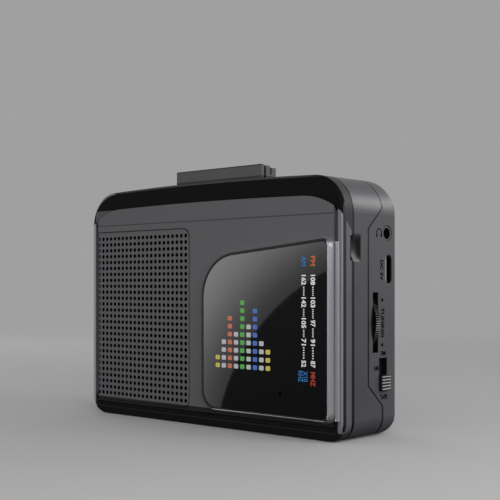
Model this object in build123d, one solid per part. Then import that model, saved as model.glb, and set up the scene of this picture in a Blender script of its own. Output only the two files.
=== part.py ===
"""Portable cassette player with a radio: a landscape body in three shells, a front door hinged along
its lower edge, keys on the top, and the tape deck, radio parts and battery bay inside.

Millimetres. The front faces -Y, +X is to the right of somebody facing the front, +Z is up. The origin
is the middle of the flat base. Depths named *_d are measured back from the flat front of the door.
"""

import math
import os

from build123d import *

# Outer body
width = 118.0
height = 83.0
depth = 31.5
crown_rise = 0.9  # how much higher the middle of the top is than its ends
top_corner_radius = 12.0
bottom_corner_radius = 6.2
rear_edge_radius = 5.5
rear_inner_chamfer = 2.2
front_edge_chamfer = 0.9
wall = 1.8
overrun = 1.0  # how far a cut runs past the surface that it opens
wheel_clearance = 0.2  # between a wheel and the plate or body beside it
seam_gap = 0.15  # gap between two shells along a seam
running_gap = 0.05  # radial clearance of a pin or shaft in its bore
loose_gap = 0.3  # clearance round something that moves past
half_width = width / 2
half_turn = 180
full_turn = 2 * half_turn

# Seams between the shells, as depths from the front
front_layer_d = 5.0
rear_seam_d = depth - 10.7
tab_seam_d = rear_seam_d - 7.7
tab_slope_z = 7.0  # height of each slanted end of the tab's seam

# Door
door_bottom_z = 4.6
door_top_z = height - 6.6  # at the middle of the arched top edge
door_arch_rise = 0.5
door_shoulder_x = half_width - 16.0  # where the arch turns down towards the side
door_side_top_z = door_top_z - 6.7
bend_run_share = 0.62  # the shoulder's middle point, along and down its curve
bend_fall_share = 0.36
door_top_slope_share = 1.15  # drop of the door's top edge for each unit of depth
rim_width = 2.0
rim_groove = 1.5
rim_inner_half = half_width - rim_width
plate_half_width = rim_inner_half - rim_groove
plate_thickness = 1.2
door_panel_thickness = 1.2
plate_line_z = door_top_z - 6.6
line_width = 0.35
line_depth = 0.3
hinge_d = 1.6
hinge_z = 6.0
hinge_pin_radius = 0.8
hinge_lug_radius = 3.3
hinge_ear_radius = 1.5
hinge_ear_thickness = 1.0
frame_bevel_d = 1.3  # depth of the slope on the fixed frame above and below the door
window_sweep = 0.5  # how much more the rail is hollowed below the raised window

# Speaker and its grille
hole_pitch = 2.2
hole_radius = 0.58
hole_columns = 22
hole_rows = 27
hole_side_count = 6
grille_edge_gap = 0.6  # from the plate's edge to the first column's middle
grille_top_gap = 2.5
grille_right_x = -6.8
grille_top_z = door_top_z - 8.9
grille_low_z = 5.4
first_hole_x = grille_edge_gap - plate_half_width
first_hole_z = grille_top_z - grille_top_gap
grille_corner_radius = 3.0
grille_thickness = 1.0
grille_sink = 0.15  # how far the grille lies behind the plate's face
speaker_x = 23.7 - plate_half_width
speaker_z = (grille_low_z + grille_top_z) / 2
speaker_radius = 14.0
speaker_depth = 3.0
speaker_magnet_radius = 8.0
speaker_rim = 1.6
speaker_face_gap = 0.3
speaker_cone_skin = 0.3

# Dial window
window_left_x = 1.7
window_right_x = plate_half_width + 0.1
window_low_z = 6.4
window_right_top_z = door_top_z - 14.1
window_left_top_z = window_right_top_z - 5.1  # where the slanted top edge would meet the left side
window_big_radius = 15.0
window_low_radius = 6.5
window_small_radius = 2.6
bezel_height = 2.6
bezel_wall_run = 0.9
bezel_lip = 0.7
lens_thickness = 1.4
lens_sink = 0.1
indicator_x = window_right_x - 19.4
indicator_z = 13.7
indicator_radius = 0.7

# Cassette well and the leaf springs of the door
leaf_thickness = 0.3
leaf_half = 4.0
leaf_rise = 1.5
leaf_width = 3.0
bay_half_width = half_width - 8.4
bay_low_z = 5.4
chassis_d = front_layer_d + 10.0
chassis_thickness = 0.8
chassis_back_d = chassis_d + chassis_thickness
spindle_half_distance = 21.25
spindle_z = height - 48.1
spindle_radius = 3.0
spindle_base_radius = 4.6
spindle_base_thickness = 0.6
spindle_collar_radius = 2.8
spindle_tip_d = 7.0
spindle_tooth = 0.9
spindle_tooth_count = 6
reel_gear_thickness = 1.6
take_up_gear_radius = 9.0
supply_gear_radius = 3.5
reel_gear_tooth = 0.8
reel_gear_spacing = 1.3  # half a tooth and half a gap, along the pitch circle

# Keys and their guard
key_front_d = 9.4
key_depth = 5.0
key_row_half = 20.2
key_names = ["stop", "forward", "play"]
key_top_z = height + 5.0
key_step = 0.7  # how much lower the rear rib of a key is
key_groove = 0.8
key_groove_depth = 2.4
key_gap = 0.25
key_flange_z = height - 4.0
key_flange_height = 1.8
key_flange_side = 0.5
key_edge = 0.4
guard_front_d = key_front_d - 2.4
guard_thickness = 1.2
guard_top_z = key_top_z + 0.2
spring_radius = 1.5
spring_wire = 0.4
bracket_thickness = 0.5
bracket_front_d = key_front_d - 0.4
bracket_back_d = bracket_front_d + 3.4
spring_d = (bracket_front_d + bracket_back_d) / 2
bracket_tab = 2.0
bracket_gap = 0.1
foot_width = 4.0
foot_gap = 0.7

# Head plate, tape head, pinch roller and drive
capstan_x = 27.5
capstan_z = spindle_z + 27.9
head_plate_d = chassis_d - 0.9
head_plate_thickness = 0.8
head_plate_low_z = capstan_z + 9.2
head_plate_high_z = head_plate_low_z + 3.7
head_plate_half = key_row_half
head_width = 12.5
head_low_z = capstan_z + 6.9
head_high_z = head_low_z + 4.6
head_front_d = 4.9
bracket_z = head_high_z + 0.2
bracket_low_z = head_low_z - 1.2
head_nose = 2.2
capstan_radius = 1.25
capstan_tip_d = 6.0
flywheel_radius = 12.0
flywheel_thickness = 3.6
flywheel_front_d = chassis_back_d + 0.8
bush_radius = 3.0
bush_length = flywheel_front_d - chassis_d - wheel_clearance
pinch_radius = 4.4
pinch_width = 7.0
pinch_x = capstan_x
pinch_z = capstan_z + 11.4
pinch_axle_radius = 1.0
pinch_pivot_x = pinch_x + 11.5
pinch_pivot_z = pinch_z - 1.8
pinch_arm_width = 4.4
motor_x = 29.0 - half_width
motor_z = capstan_z + 6.2
motor_radius = 8.4
motor_depth = 8.0
motor_front_d = flywheel_front_d + 3.6
motor_pulley_radius = 2.6
motor_shaft_radius = 0.75
motor_post_radius = 1.2
motor_post_inset = 1.4
locating_pin_x = 30.0
locating_pin_z = 10.0
locating_pin_radius = 1.3
locating_pin_tip_d = 7.5
belt_thickness = 0.8
belt_width = 1.0
belt_front_d = flywheel_front_d + 1.3

# Controls and sockets on the right side, as depth and height
jack_d = depth - 8.2
jack_z = height - 18.7
jack_hole_radius = 1.8
jack_ring_radius = 2.6
jack_length = 12.0
jack_body = 6.4
port_d = depth - 7.3
port_z = jack_z - 11.4
port_height = 9.3
port_width = 3.6
port_shell_wall = 0.35
port_shell_gap = 0.15
port_length = 7.0
port_tongue = 0.7
port_leg_half = 2.0
tuning_thickness = 2.0
tuning_d = chassis_back_d + wheel_clearance + tuning_thickness / 2
tuning_z = port_z - 16.8
tuning_slot_width = 3.1
tuning_slot_height = 19.0
tuning_radius = 12.4
tuning_proud = 1.1
wheel_shaft_radius = 1.5
wheel_shaft_length = 5.4  # how far the shaft reaches behind its wheel
knurl_depth = 0.3
knurl_count = 36
switch_d = depth - 10.4
switch_z = tuning_z - 16.4
tab_low_z = switch_z - 3.1
tab_high_z = jack_z + 1.1
switch_slot_width = 4.6
switch_slot_height = 10.3
switch_knob_height = 4.8
switch_proud = 1.5
switch_ridge_count = 5
volume_z = height - 16.4
volume_radius = 7.4
volume_slot_height = 9.6
volume_proud = 1.0
volume_half = 4.2
volume_back_d = chassis_back_d + 8.7
capacitor_half_x = 7.0
capacitor_half_z = 6.5
recess_d = 7.4
recess_width = 3.4
recess_high_z = height - 19.4
recess_low_z = recess_high_z - 8.4
recess_depth = 1.3
finger_slot_low_z = recess_low_z + 0.2
finger_slot_high_z = recess_high_z - 0.6
finger_slot_width = 1.5

# Battery bay and its door, on the back at the left
cell_radius = 7.25
cell_gap = 0.15
bay_x = 18.0 - half_width
battery_low_z = 4.0
battery_high_z = 57.2
battery_wall = 1.1
battery_door_thickness = 1.0
battery_door_margin = 1.6
contact_thickness = 0.4
thumb_patch = 9.0
thumb_groove_count = 5

# Boards and small parts
board_d = depth - 4.5
board_thickness = 1.0
board_edge_gap = 0.8
board_left_x = -24.0
board_right_x = half_width - 3.4
board_low_z = 7.0
board_high_z = height - 6.0
chip_spots = [(4.5, 38.5, 9.0), (19.0, 25.0, 6.0)]
capacitor_spots = [(4.0, 54.0), (-8.0, 24.0)]
capacitor_radius = 3.2
capacitor_length = 5.0
rod_length = 42.0
coil_length = 10.5
coil_thickness = 0.9
rod_x = 26.0
rod_z = 11.0
rod_radius = 2.9
rod_d = board_d - rod_radius - 0.9
screw_radius = 1.4
screw_head_radius = 2.4
screw_head_height = 1.3
screw_slot = 0.5
screw_sink = 0.4
boss_radius = 3.4
screw_spots = [
    (half_width - 6.5, 8.0),
    (-2.0, 8.0),
    (half_width - 10.5, height - 8.5),
    (16.0 - half_width, height - 7.5),
]

# Derived places
front_y = -depth / 2
inner_rear_d = depth - wall
cell_pair_half = 2 * cell_radius + 2 * cell_gap


def at_depth(d):
    """The Y of a depth measured back from the flat front of the door."""
    return front_y + d


def block(x0, x1, d0, d1, z0, z1):
    """A box from its limits in X, in depth and in Z."""
    centre = ((x0 + x1) / 2, (at_depth(d0) + at_depth(d1)) / 2, (z0 + z1) / 2)
    return Pos(*centre) * Box(x1 - x0, d1 - d0, z1 - z0)


def rod_y(x, z, radius, d0, d1):
    """A cylinder along Y."""
    middle = Pos(x, (at_depth(d0) + at_depth(d1)) / 2, z)
    return middle * Rot(90, 0, 0) * Cylinder(radius, d1 - d0)


def rod_x_axis(x0, x1, d, z, radius):
    """A cylinder along X."""
    return Pos((x0 + x1) / 2, at_depth(d), z) * Rot(0, 90, 0) * Cylinder(radius, x1 - x0)


def upright(x, d, radius, z0, z1):
    """A cylinder along Z."""
    return Pos(x, at_depth(d), (z0 + z1) / 2) * Cylinder(radius, z1 - z0)


def prism_y(face, d0, d1):
    """A face drawn in the XZ plane at Y zero, as a prism between two depths."""
    return extrude(Pos(0, at_depth(d1), 0) * face, d1 - d0, dir=(0, -1, 0))


def flat_face(*edges):
    """A face from edges drawn in the XZ plane."""
    return make_face(Wire(list(edges)))


def point(x, z):
    """A point of the XZ plane."""
    return Vector(x, 0, z)


def quarter(centre_x, centre_z, radius, start, stop):
    """An arc of the XZ plane from one angle to another, in degrees from +X towards +Z."""
    angles = [start, (start + stop) / 2, stop]
    spots = []
    for angle in angles:
        turn = math.radians(angle)
        spots.append(point(centre_x + radius * math.cos(turn), centre_z + radius * math.sin(turn)))
    return ThreePointArc(*spots)


def outline(inset):
    """The body's outline in the XZ plane, drawn in by a distance: flat base, round corners and a top
    that is one shallow arc between the two corner arcs."""
    half = half_width - inset
    low_radius = bottom_corner_radius - inset
    corner = top_corner_radius - inset
    run = half_width - top_corner_radius
    crown = (run * run + crown_rise * crown_rise) / (2 * crown_rise) - inset
    top = height - inset
    crown_z = top - crown
    reach = crown - corner
    corner_z = crown_z + math.sqrt(reach * reach - (half - corner) ** 2)
    lean = math.degrees(math.atan2(corner_z - crown_z, half - corner))
    low_z = inset + low_radius
    low_x = half - low_radius
    return flat_face(
        Line(point(-low_x, inset), point(low_x, inset)),
        quarter(low_x, low_z, low_radius, -90, 0),
        Line(point(half, low_z), point(half, corner_z)),
        quarter(half - corner, corner_z, corner, 0, lean),
        quarter(0, crown_z, crown, lean, half_turn - lean),
        quarter(corner - half, corner_z, corner, half_turn - lean, half_turn),
        Line(point(-half, corner_z), point(-half, low_z)),
        quarter(-low_x, low_z, low_radius, half_turn, half_turn + 90),
    )


def door_area(gap):
    """Everything below the door's top edge: an arch that turns down at both shoulders, carried back
    and down so that the edge is bevelled and the door can swing out."""
    low = point(-width, -height)
    top = door_top_z - gap
    arch_z = top - door_arch_rise
    side_z = door_side_top_z - gap
    fall_x = half_width - door_shoulder_x
    slack_z = side_z - (arch_z - side_z)
    end_x = half_width + fall_x
    bend_x = door_shoulder_x + fall_x * bend_run_share
    bend_z = arch_z - (arch_z - side_z) * bend_fall_share
    face = flat_face(
        Line(low, point(width, -height)),
        Line(point(width, -height), point(width, slack_z)),
        Line(point(width, slack_z), point(end_x, slack_z)),
        Line(point(end_x, slack_z), point(half_width, side_z)),
        ThreePointArc(point(half_width, side_z), point(bend_x, bend_z), point(door_shoulder_x, arch_z)),
        ThreePointArc(point(door_shoulder_x, arch_z), point(0, top), point(-door_shoulder_x, arch_z)),
        ThreePointArc(
            point(-door_shoulder_x, arch_z), point(-bend_x, bend_z), point(-half_width, side_z)
        ),
        Line(point(-half_width, side_z), point(-end_x, slack_z)),
        Line(point(-end_x, slack_z), point(-width, slack_z)),
        Line(point(-width, slack_z), low),
    )
    back = front_layer_d + 2 * overrun
    slope = math.hypot(1, door_top_slope_share)
    start = Pos(0, at_depth(-overrun), overrun * door_top_slope_share)
    return extrude(start * face, (back + overrun) * slope, dir=(0, 1, -door_top_slope_share))


def front_layer():
    """The whole front layer of the body, with its front edge chamfered all round."""
    solid = prism_y(outline(0), 0, front_layer_d)
    edges = solid.faces().sort_by(Axis.Y)[0].edges()
    return chamfer(edges, front_edge_chamfer)


def window_face(grow):
    """The dial window's outline: a slanted top edge, a large upper left corner and smaller others."""
    left = window_left_x - grow
    right = window_right_x + grow
    low = window_low_z - grow
    slope = (window_right_top_z - window_left_top_z) / (window_right_x - window_left_x)
    lift = grow * math.hypot(1, slope)
    left_top = window_left_top_z - slope * grow + lift
    right_top = window_right_top_z + slope * grow + lift
    corners = [(left, low), (right, low), (right, right_top), (left, left_top)]
    radii = [window_low_radius, window_small_radius, window_small_radius, window_big_radius]
    outline_wire = FilletPolyline(
        *[point(*corner) for corner in corners], radius=[radius + grow for radius in radii], close=True
    )
    return make_face(outline_wire)


def spread(count, low, high):
    """The middles of equal shares of a length, and the length of one share."""
    share = (high - low) / count
    return [low + share * (n + 0.5) for n in range(count)], share


def speaker_opening(extra, d0, d1):
    """The round hole that the speaker stands in."""
    return rod_y(speaker_x, speaker_z, speaker_radius + extra, d0, d1)


def grille_area(gap):
    """The rounded area of the front plate that the grille fills."""
    x0 = -plate_half_width - gap
    x1 = grille_right_x + gap
    z0 = grille_low_z - gap
    z1 = grille_top_z + gap
    radius = grille_corner_radius + gap
    return flat_face(
        Line(point(x0, z0), point(x1 - radius, z0)),
        quarter(x1 - radius, z0 + radius, radius, -90, 0),
        Line(point(x1, z0 + radius), point(x1, z1 - radius)),
        quarter(x1 - radius, z1 - radius, radius, 0, 90),
        Line(point(x1 - radius, z1), point(x0, z1)),
        Line(point(x0, z1), point(x0, z0)),
    )


def door_shell():
    """The door's moulding: side strips with hinge lugs, and the panel that carries the rest."""
    layer = front_layer() & door_area(seam_gap)
    upper = block(-width, width, -overrun, front_layer_d + overrun, hinge_z, height)
    strips = layer & upper
    hollow = block(-rim_inner_half, rim_inner_half, -overrun, front_layer_d + overrun, -overrun, height)
    strips -= hollow
    lug = front_layer() & rod_x_axis(-width, width, hinge_d, hinge_z, hinge_lug_radius)
    lug &= block(-width, width, -overrun, front_layer_d, -overrun, hinge_z + overrun)
    strips += lug - hollow
    panel_front = plate_thickness
    panel_back = plate_thickness + door_panel_thickness
    panel = block(-rim_inner_half, rim_inner_half, panel_front, panel_back, door_bottom_z, height)
    panel &= door_area(seam_gap)
    shell = strips + panel
    shell -= speaker_opening(loose_gap, -overrun, front_layer_d)
    bore_end = half_width - wall / 3
    notch_out = rim_inner_half
    notch_in = rim_inner_half - loose_gap - wall - seam_gap
    notch_z = hinge_z + hinge_ear_radius + loose_gap
    for side in (-1, 1):
        low, high = sorted((side * notch_in, side * notch_out))
        shell -= block(low, high, -overrun, front_layer_d, -overrun, notch_z)
        low, high = sorted((side * notch_in, side * bore_end))
        shell -= rod_x_axis(low, high, hinge_d, hinge_z, hinge_pin_radius + running_gap)
    slot_front = front_layer_d - finger_slot_width
    shell -= block(
        half_width - finger_slot_width / 2, width, slot_front, front_layer_d + overrun,
        finger_slot_low_z, finger_slot_high_z,
    )
    return shell


def plate_solid():
    """The flat decorative plate, before its openings."""
    area = block(-plate_half_width, plate_half_width, 0, plate_thickness, door_bottom_z, height)
    return area & door_area(seam_gap)


def door_front_plate():
    """The front plate with the grille's opening and the thin line that crosses it."""
    plate = plate_solid() - prism_y(grille_area(seam_gap), -overrun, plate_thickness + overrun)
    line_low = plate_line_z - line_width / 2
    line_high = plate_line_z + line_width / 2
    plate -= block(-plate_half_width, plate_half_width, -overrun, line_depth, line_low, line_high)
    indicator_bore = rod_y(indicator_x, indicator_z, indicator_radius + seam_gap, -overrun, depth)
    return plate - indicator_bore


def speaker_grille():
    """The grille's panel, with sound holes in its square pattern where the speaker lies behind it."""
    panel = prism_y(grille_area(0), grille_sink, grille_sink + grille_thickness)
    reach = speaker_radius - speaker_rim
    spots = []
    for column in range(hole_columns):
        for row in range(hole_rows):
            x = first_hole_x + column * hole_pitch
            z = first_hole_z - row * hole_pitch
            if math.hypot(x - speaker_x, z - speaker_z) < reach:
                spots.append(Pos(x, 0, z) * Rot(90, 0, 0) * RegularPolygon(hole_radius, hole_side_count).face())
    back = grille_sink + grille_thickness + overrun
    seats = [Pos(0, at_depth(back), 0) * spot for spot in spots]
    return panel - extrude(seats, back + overrun, dir=(0, -1, 0))


def window_bezel():
    """The raised frame round the dial window, with its wall leaning in towards the front."""
    base = window_face(bezel_wall_run)
    lean = math.degrees(math.atan2(bezel_wall_run, bezel_height))
    body = extrude(Pos(0, front_y, 0) * base, bezel_height, dir=(0, -1, 0), taper=lean)
    well = prism_y(window_face(-bezel_lip), -bezel_height - overrun, -bezel_height + lens_thickness)
    floor = prism_y(window_face(-2 * bezel_lip), -bezel_height, overrun)
    return body - well - floor


def window_lens():
    """The dark dial window, lying in the bezel."""
    front = lens_sink - bezel_height
    lens = prism_y(window_face(-bezel_lip - seam_gap), front, lens_thickness - bezel_height)
    return lens - rod_y(indicator_x, indicator_z, indicator_radius, -depth, overrun)


def indicator_light():
    """The small light pipe behind the hole at the window's foot."""
    front = lens_sink - bezel_height
    return rod_y(indicator_x, indicator_z, indicator_radius, front, plate_thickness)


def speaker_parts():
    """The speaker's basket, cone and magnet, each a turned piece on the speaker's axis."""
    front = grille_sink + grille_thickness + speaker_face_gap / 2
    back = front + speaker_depth
    basket = rod_y(speaker_x, speaker_z, speaker_radius, front, back)
    basket -= rod_y(speaker_x, speaker_z, speaker_radius - speaker_rim, -overrun, back - speaker_rim / 2)
    basket -= rod_y(speaker_x, speaker_z, speaker_magnet_radius + seam_gap, front, back + overrun)
    magnet_front = back - speaker_depth / 2
    magnet = rod_y(speaker_x, speaker_z, speaker_magnet_radius, magnet_front, back)
    cone_back = magnet_front - seam_gap
    cone_low = speaker_magnet_radius / 2
    cone_high = speaker_radius - speaker_rim - seam_gap
    skin = speaker_cone_skin
    profile = Polyline(
        Vector(0, at_depth(cone_back - skin), 0),
        Vector(cone_low, at_depth(cone_back - skin), 0),
        Vector(cone_high, at_depth(front + skin), 0),
        Vector(cone_high, at_depth(front + 2 * skin), 0),
        Vector(cone_low, at_depth(cone_back), 0),
        Vector(0, at_depth(cone_back), 0),
        close=True,
    )
    cone = Pos(speaker_x, 0, speaker_z) * revolve(make_face(profile), Axis.Y)
    return {"speaker_basket": basket, "speaker_cone": cone, "speaker_magnet": magnet}


def cassette_springs():
    """Two leaf springs on the door's inner face that hold a cassette against the deck."""
    seat = plate_thickness + door_panel_thickness
    leaf_x = spindle_half_distance / 2
    pieces = []
    for side in (0, 1):
        x = leaf_x + side * (spindle_half_distance + leaf_half)
        foot = block(x - leaf_half * 2, x - leaf_half, seat, seat + leaf_thickness, spindle_z,
                     spindle_z + leaf_width)
        low = at_depth(seat)
        high = at_depth(seat + leaf_rise)
        path = Polyline(
            Vector(x - leaf_half, low, spindle_z),
            Vector(x + leaf_half, high, spindle_z),
            Vector(x + leaf_half, high + leaf_thickness, spindle_z),
            Vector(x - leaf_half, low + leaf_thickness, spindle_z),
            close=True,
        )
        pieces.append(foot + extrude(make_face(path), leaf_width, dir=(0, 0, 1)))
    return Compound(pieces)


def front_frame():
    """The fixed front: the cap above the door, the rail below it and the webs behind its sides."""
    layer = front_layer()
    bevel_top = Polyline(
        Vector(-width, at_depth(-overrun), door_top_z - overrun),
        Vector(-width, at_depth(0), door_top_z - overrun),
        Vector(-width, at_depth(frame_bevel_d), height),
        Vector(-width, at_depth(frame_bevel_d), height + overrun),
        Vector(-width, at_depth(-overrun), height + overrun),
        close=True,
    )
    bevel_low = Polyline(
        Vector(-width, at_depth(-overrun), door_bottom_z),
        Vector(-width, at_depth(0), door_bottom_z),
        Vector(-width, at_depth(frame_bevel_d), 0),
        Vector(-width, at_depth(frame_bevel_d), -overrun),
        Vector(-width, at_depth(-overrun), -overrun),
        close=True,
    )
    cap = layer - door_area(0)
    cap &= block(-width, width, -overrun, front_layer_d, hinge_z, height + overrun)
    cap -= extrude(make_face(bevel_top), 2 * width, dir=(1, 0, 0))
    cap -= prism_y(outline(wall), plate_thickness + overrun, front_layer_d + overrun)
    rail = layer & block(-width, width, -overrun, front_layer_d, -overrun, door_bottom_z - seam_gap)
    rail -= extrude(make_face(bevel_low), 2 * width, dir=(1, 0, 0))
    sweep = math.hypot(hinge_d, hinge_z - door_bottom_z) + loose_gap / 2
    rail -= rod_x_axis(-width, width, hinge_d, hinge_z, sweep)
    window_end = window_right_x + bezel_wall_run + loose_gap
    rail -= rod_x_axis(window_left_x, window_end, hinge_d, hinge_z, sweep + window_sweep)
    web_front = plate_thickness + door_panel_thickness + loose_gap
    frame = cap + rail
    for side in (-1, 1):
        low, high = sorted((side * (rim_inner_half - seam_gap), side * width))
        frame -= rod_x_axis(low, high, hinge_d, hinge_z, hinge_lug_radius + loose_gap)
        web_out = rim_inner_half - loose_gap
        low, high = sorted((side * (web_out - wall), side * web_out))
        web = block(low, high, web_front, front_layer_d, door_bottom_z - wall, height)
        frame += web & prism_y(outline(wall / 2), 0, depth)
        ear_out = rim_inner_half - seam_gap
        low, high = sorted((side * (ear_out - hinge_ear_thickness), side * ear_out))
        ear_low = door_bottom_z - wall
        ear = rod_x_axis(low, high, hinge_d, hinge_z, hinge_ear_radius)
        ear += block(low, high, hinge_d - hinge_ear_radius, hinge_d + hinge_ear_radius, ear_low, hinge_z)
        frame += ear
        low, high = sorted((side * plate_half_width, side * half_width))
        frame -= rod_x_axis(low, high, hinge_d, hinge_z, hinge_pin_radius)
    return frame


def hinge_pins():
    """The two pins that the door turns on."""
    pin_in = rim_inner_half - seam_gap - hinge_ear_thickness
    pin_out = half_width - wall / 3 - loose_gap
    return Compound(
        [
            rod_x_axis(-pin_out, -pin_in, hinge_d, hinge_z, hinge_pin_radius),
            rod_x_axis(pin_in, pin_out, hinge_d, hinge_z, hinge_pin_radius),
        ]
    )


def tab_area(gap):
    """The part of the right side that belongs to the rear cover: a tab with slanted ends."""
    z0 = tab_low_z - gap
    z1 = tab_high_z + gap
    rear = at_depth(rear_seam_d + overrun)
    start = at_depth(tab_seam_d - gap)
    shoulder = at_depth(rear_seam_d)
    profile = Polyline(
        Vector(half_width - wall - seam_gap, start, z0),
        Vector(half_width - wall - seam_gap, shoulder, z0 - tab_slope_z),
        Vector(half_width - wall - seam_gap, rear, z0 - tab_slope_z),
        Vector(half_width - wall - seam_gap, rear, z1 + tab_slope_z),
        Vector(half_width - wall - seam_gap, shoulder, z1 + tab_slope_z),
        Vector(half_width - wall - seam_gap, start, z1),
        close=True,
    )
    return extrude(make_face(profile), wall + seam_gap + overrun, dir=(1, 0, 0))


def side_recess():
    """The scoop in the housing's side that a fingertip enters to open the door."""
    middle_z = (recess_low_z + recess_high_z) / 2
    half = (recess_high_z - recess_low_z) / 2
    radius = (half * half + recess_depth * recess_depth) / (2 * recess_depth)
    centre_x = half_width + radius - recess_depth
    scoop = rod_y(centre_x, middle_z, radius, recess_d - recess_width / 2, recess_d + recess_width / 2)
    back = front_layer_d - overrun
    face = rod_y(centre_x, middle_z, radius, back, recess_d)
    return scoop + face


def housing_openings():
    """What is cut through the middle housing's walls: the key slot and both thumb wheels' slots."""
    slot_half = key_row_half + loose_gap
    key_slot = block(
        -slot_half, slot_half, key_front_d - loose_gap, key_front_d + key_depth + loose_gap,
        height - 2 * wall, height + overrun,
    )
    slot_low = tuning_d - tuning_slot_width / 2
    slot_high = tuning_d + tuning_slot_width / 2
    half = volume_slot_height / 2
    volume_slot = block(
        -width, wall - half_width + overrun, slot_low, slot_high, volume_z - half, volume_z + half
    )
    return key_slot + volume_slot


def middle_housing():
    """The middle shell, open to the front over the cassette well, with the frame of the deck."""
    front = front_layer_d + seam_gap
    shell = prism_y(outline(0), front, rear_seam_d) - prism_y(outline(wall), front - overrun, depth)
    shell -= tab_area(seam_gap)
    lining = block(-half_width + wall, half_width - wall, front, chassis_d, wall, height - wall)
    lining &= prism_y(outline(wall / 2), front, chassis_d)
    well = block(-bay_half_width, bay_half_width, -overrun, depth, bay_low_z, height)
    lining -= well
    shell += lining
    shell -= side_recess()
    shell -= housing_openings()
    shell -= wheel_space(tuning_wheel_x(), tuning_z, tuning_radius)
    shell -= wheel_space(volume_wheel_x(), volume_z, volume_radius)
    return shell


def tuning_wheel_x():
    """The X of the tuning wheel's axis."""
    return half_width + tuning_proud - tuning_radius


def volume_wheel_x():
    """The X of the volume wheel's axis."""
    return volume_radius - half_width - volume_proud


def wheel_space(x, z, radius):
    """The room that a thumb wheel turns in."""
    half = tuning_thickness / 2 + loose_gap
    return rod_y(x, z, radius + loose_gap, tuning_d - half, tuning_d + half)


def rear_openings():
    """What is cut through the rear cover's side: sockets, the tuning wheel's slot and the switch's."""
    outside = half_width + overrun
    inside = half_width - wall - 2 * overrun
    jack = rod_x_axis(inside, outside, jack_d, jack_z, jack_ring_radius)
    radius = port_width / 2
    half = port_height / 2 - radius
    port = block(inside, outside, port_d - radius, port_d + radius, port_z - half, port_z + half)
    port += rod_x_axis(inside, outside, port_d, port_z - half, radius)
    port += rod_x_axis(inside, outside, port_d, port_z + half, radius)
    width_half = tuning_slot_width / 2
    half = tuning_slot_height / 2
    wheel = block(
        inside, outside, tuning_d - width_half, tuning_d + width_half, tuning_z - half, tuning_z + half
    )
    width_half = switch_slot_width / 2
    half = switch_slot_height / 2
    slide = block(
        inside, outside, switch_d - width_half, switch_d + width_half, switch_z - half, switch_z + half
    )
    return jack + port + wheel + slide


def battery_box(grow, d0, d1):
    """The battery bay's room, or the same grown on its four sides."""
    x0 = bay_x - cell_pair_half - grow
    x1 = bay_x + cell_pair_half + grow
    return block(x0, x1, d0, d1, battery_low_z - grow, battery_high_z + grow)


def rear_cover():
    """The rear shell with the side tab, the battery bay's walls and bosses for the screws."""
    front = rear_seam_d + seam_gap
    core = prism_y(outline(wall), front - overrun, inner_rear_d)
    core = chamfer(core.faces().sort_by(Axis.Y)[-1].edges(), rear_inner_chamfer)
    solid = rear_body(front) - core
    strip = block(half_width - wall, half_width, tab_seam_d, rear_seam_d + overrun, 0, height)
    solid += strip & tab_area(0) & prism_y(outline(0), tab_seam_d, depth)
    walls = battery_box(battery_wall, chassis_back_d + loose_gap, inner_rear_d + overrun / 2)
    walls &= prism_y(outline(wall + seam_gap), 0, depth - wall / 2)
    solid += walls
    solid -= battery_box(0, 0, depth + overrun)
    for x, z in screw_spots:
        solid += rod_y(x, z, boss_radius, chassis_back_d, depth - wall / 2)
        solid -= rod_y(x, z, screw_radius, 0, depth)
        head_bottom = depth - screw_head_height - screw_sink
        solid -= rod_y(x, z, screw_head_radius + seam_gap, head_bottom, depth + overrun)
    lip = battery_door_area(seam_gap)
    solid -= lip
    solid -= rear_openings()
    return solid


def battery_door_area(gap):
    """The space of the battery door, which wraps round the back's left edge."""
    front = depth - battery_door_thickness
    z0 = battery_low_z + battery_door_margin - gap
    z1 = battery_high_z + battery_door_margin + gap
    right = bay_x + cell_pair_half + battery_door_margin + gap
    inner = bay_x - cell_pair_half - seam_gap + gap
    area = block(-width, right, front, depth + overrun, z0, z1)
    return area + block(-width, inner, depth - rear_edge_radius - gap, depth + overrun, z0, z1)


def rear_body(front):
    """The rear part of the body's outside, its rear edge rounded."""
    body = prism_y(outline(0), front, depth)
    return fillet(body.faces().sort_by(Axis.Y)[-1].edges(), rear_edge_radius)


def chassis_plate():
    """The steel deck plate behind the cassette, with holes for the spindles, capstan and pivots."""
    plate = block(
        -half_width + wall + seam_gap, half_width - wall - seam_gap, chassis_d, chassis_back_d,
        wall + seam_gap, height - 2 * wall,
    )
    plate &= prism_y(outline(wall + seam_gap), chassis_d, chassis_back_d)
    bore = spindle_collar_radius + running_gap
    for side in (-1, 1):
        plate -= rod_y(side * spindle_half_distance, spindle_z, bore, 0, depth)
    plate -= rod_y(capstan_x, capstan_z, bush_radius, 0, depth)
    for x, z in screw_spots:
        plate -= rod_y(x, z, screw_radius, 0, depth)
    return plate


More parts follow.
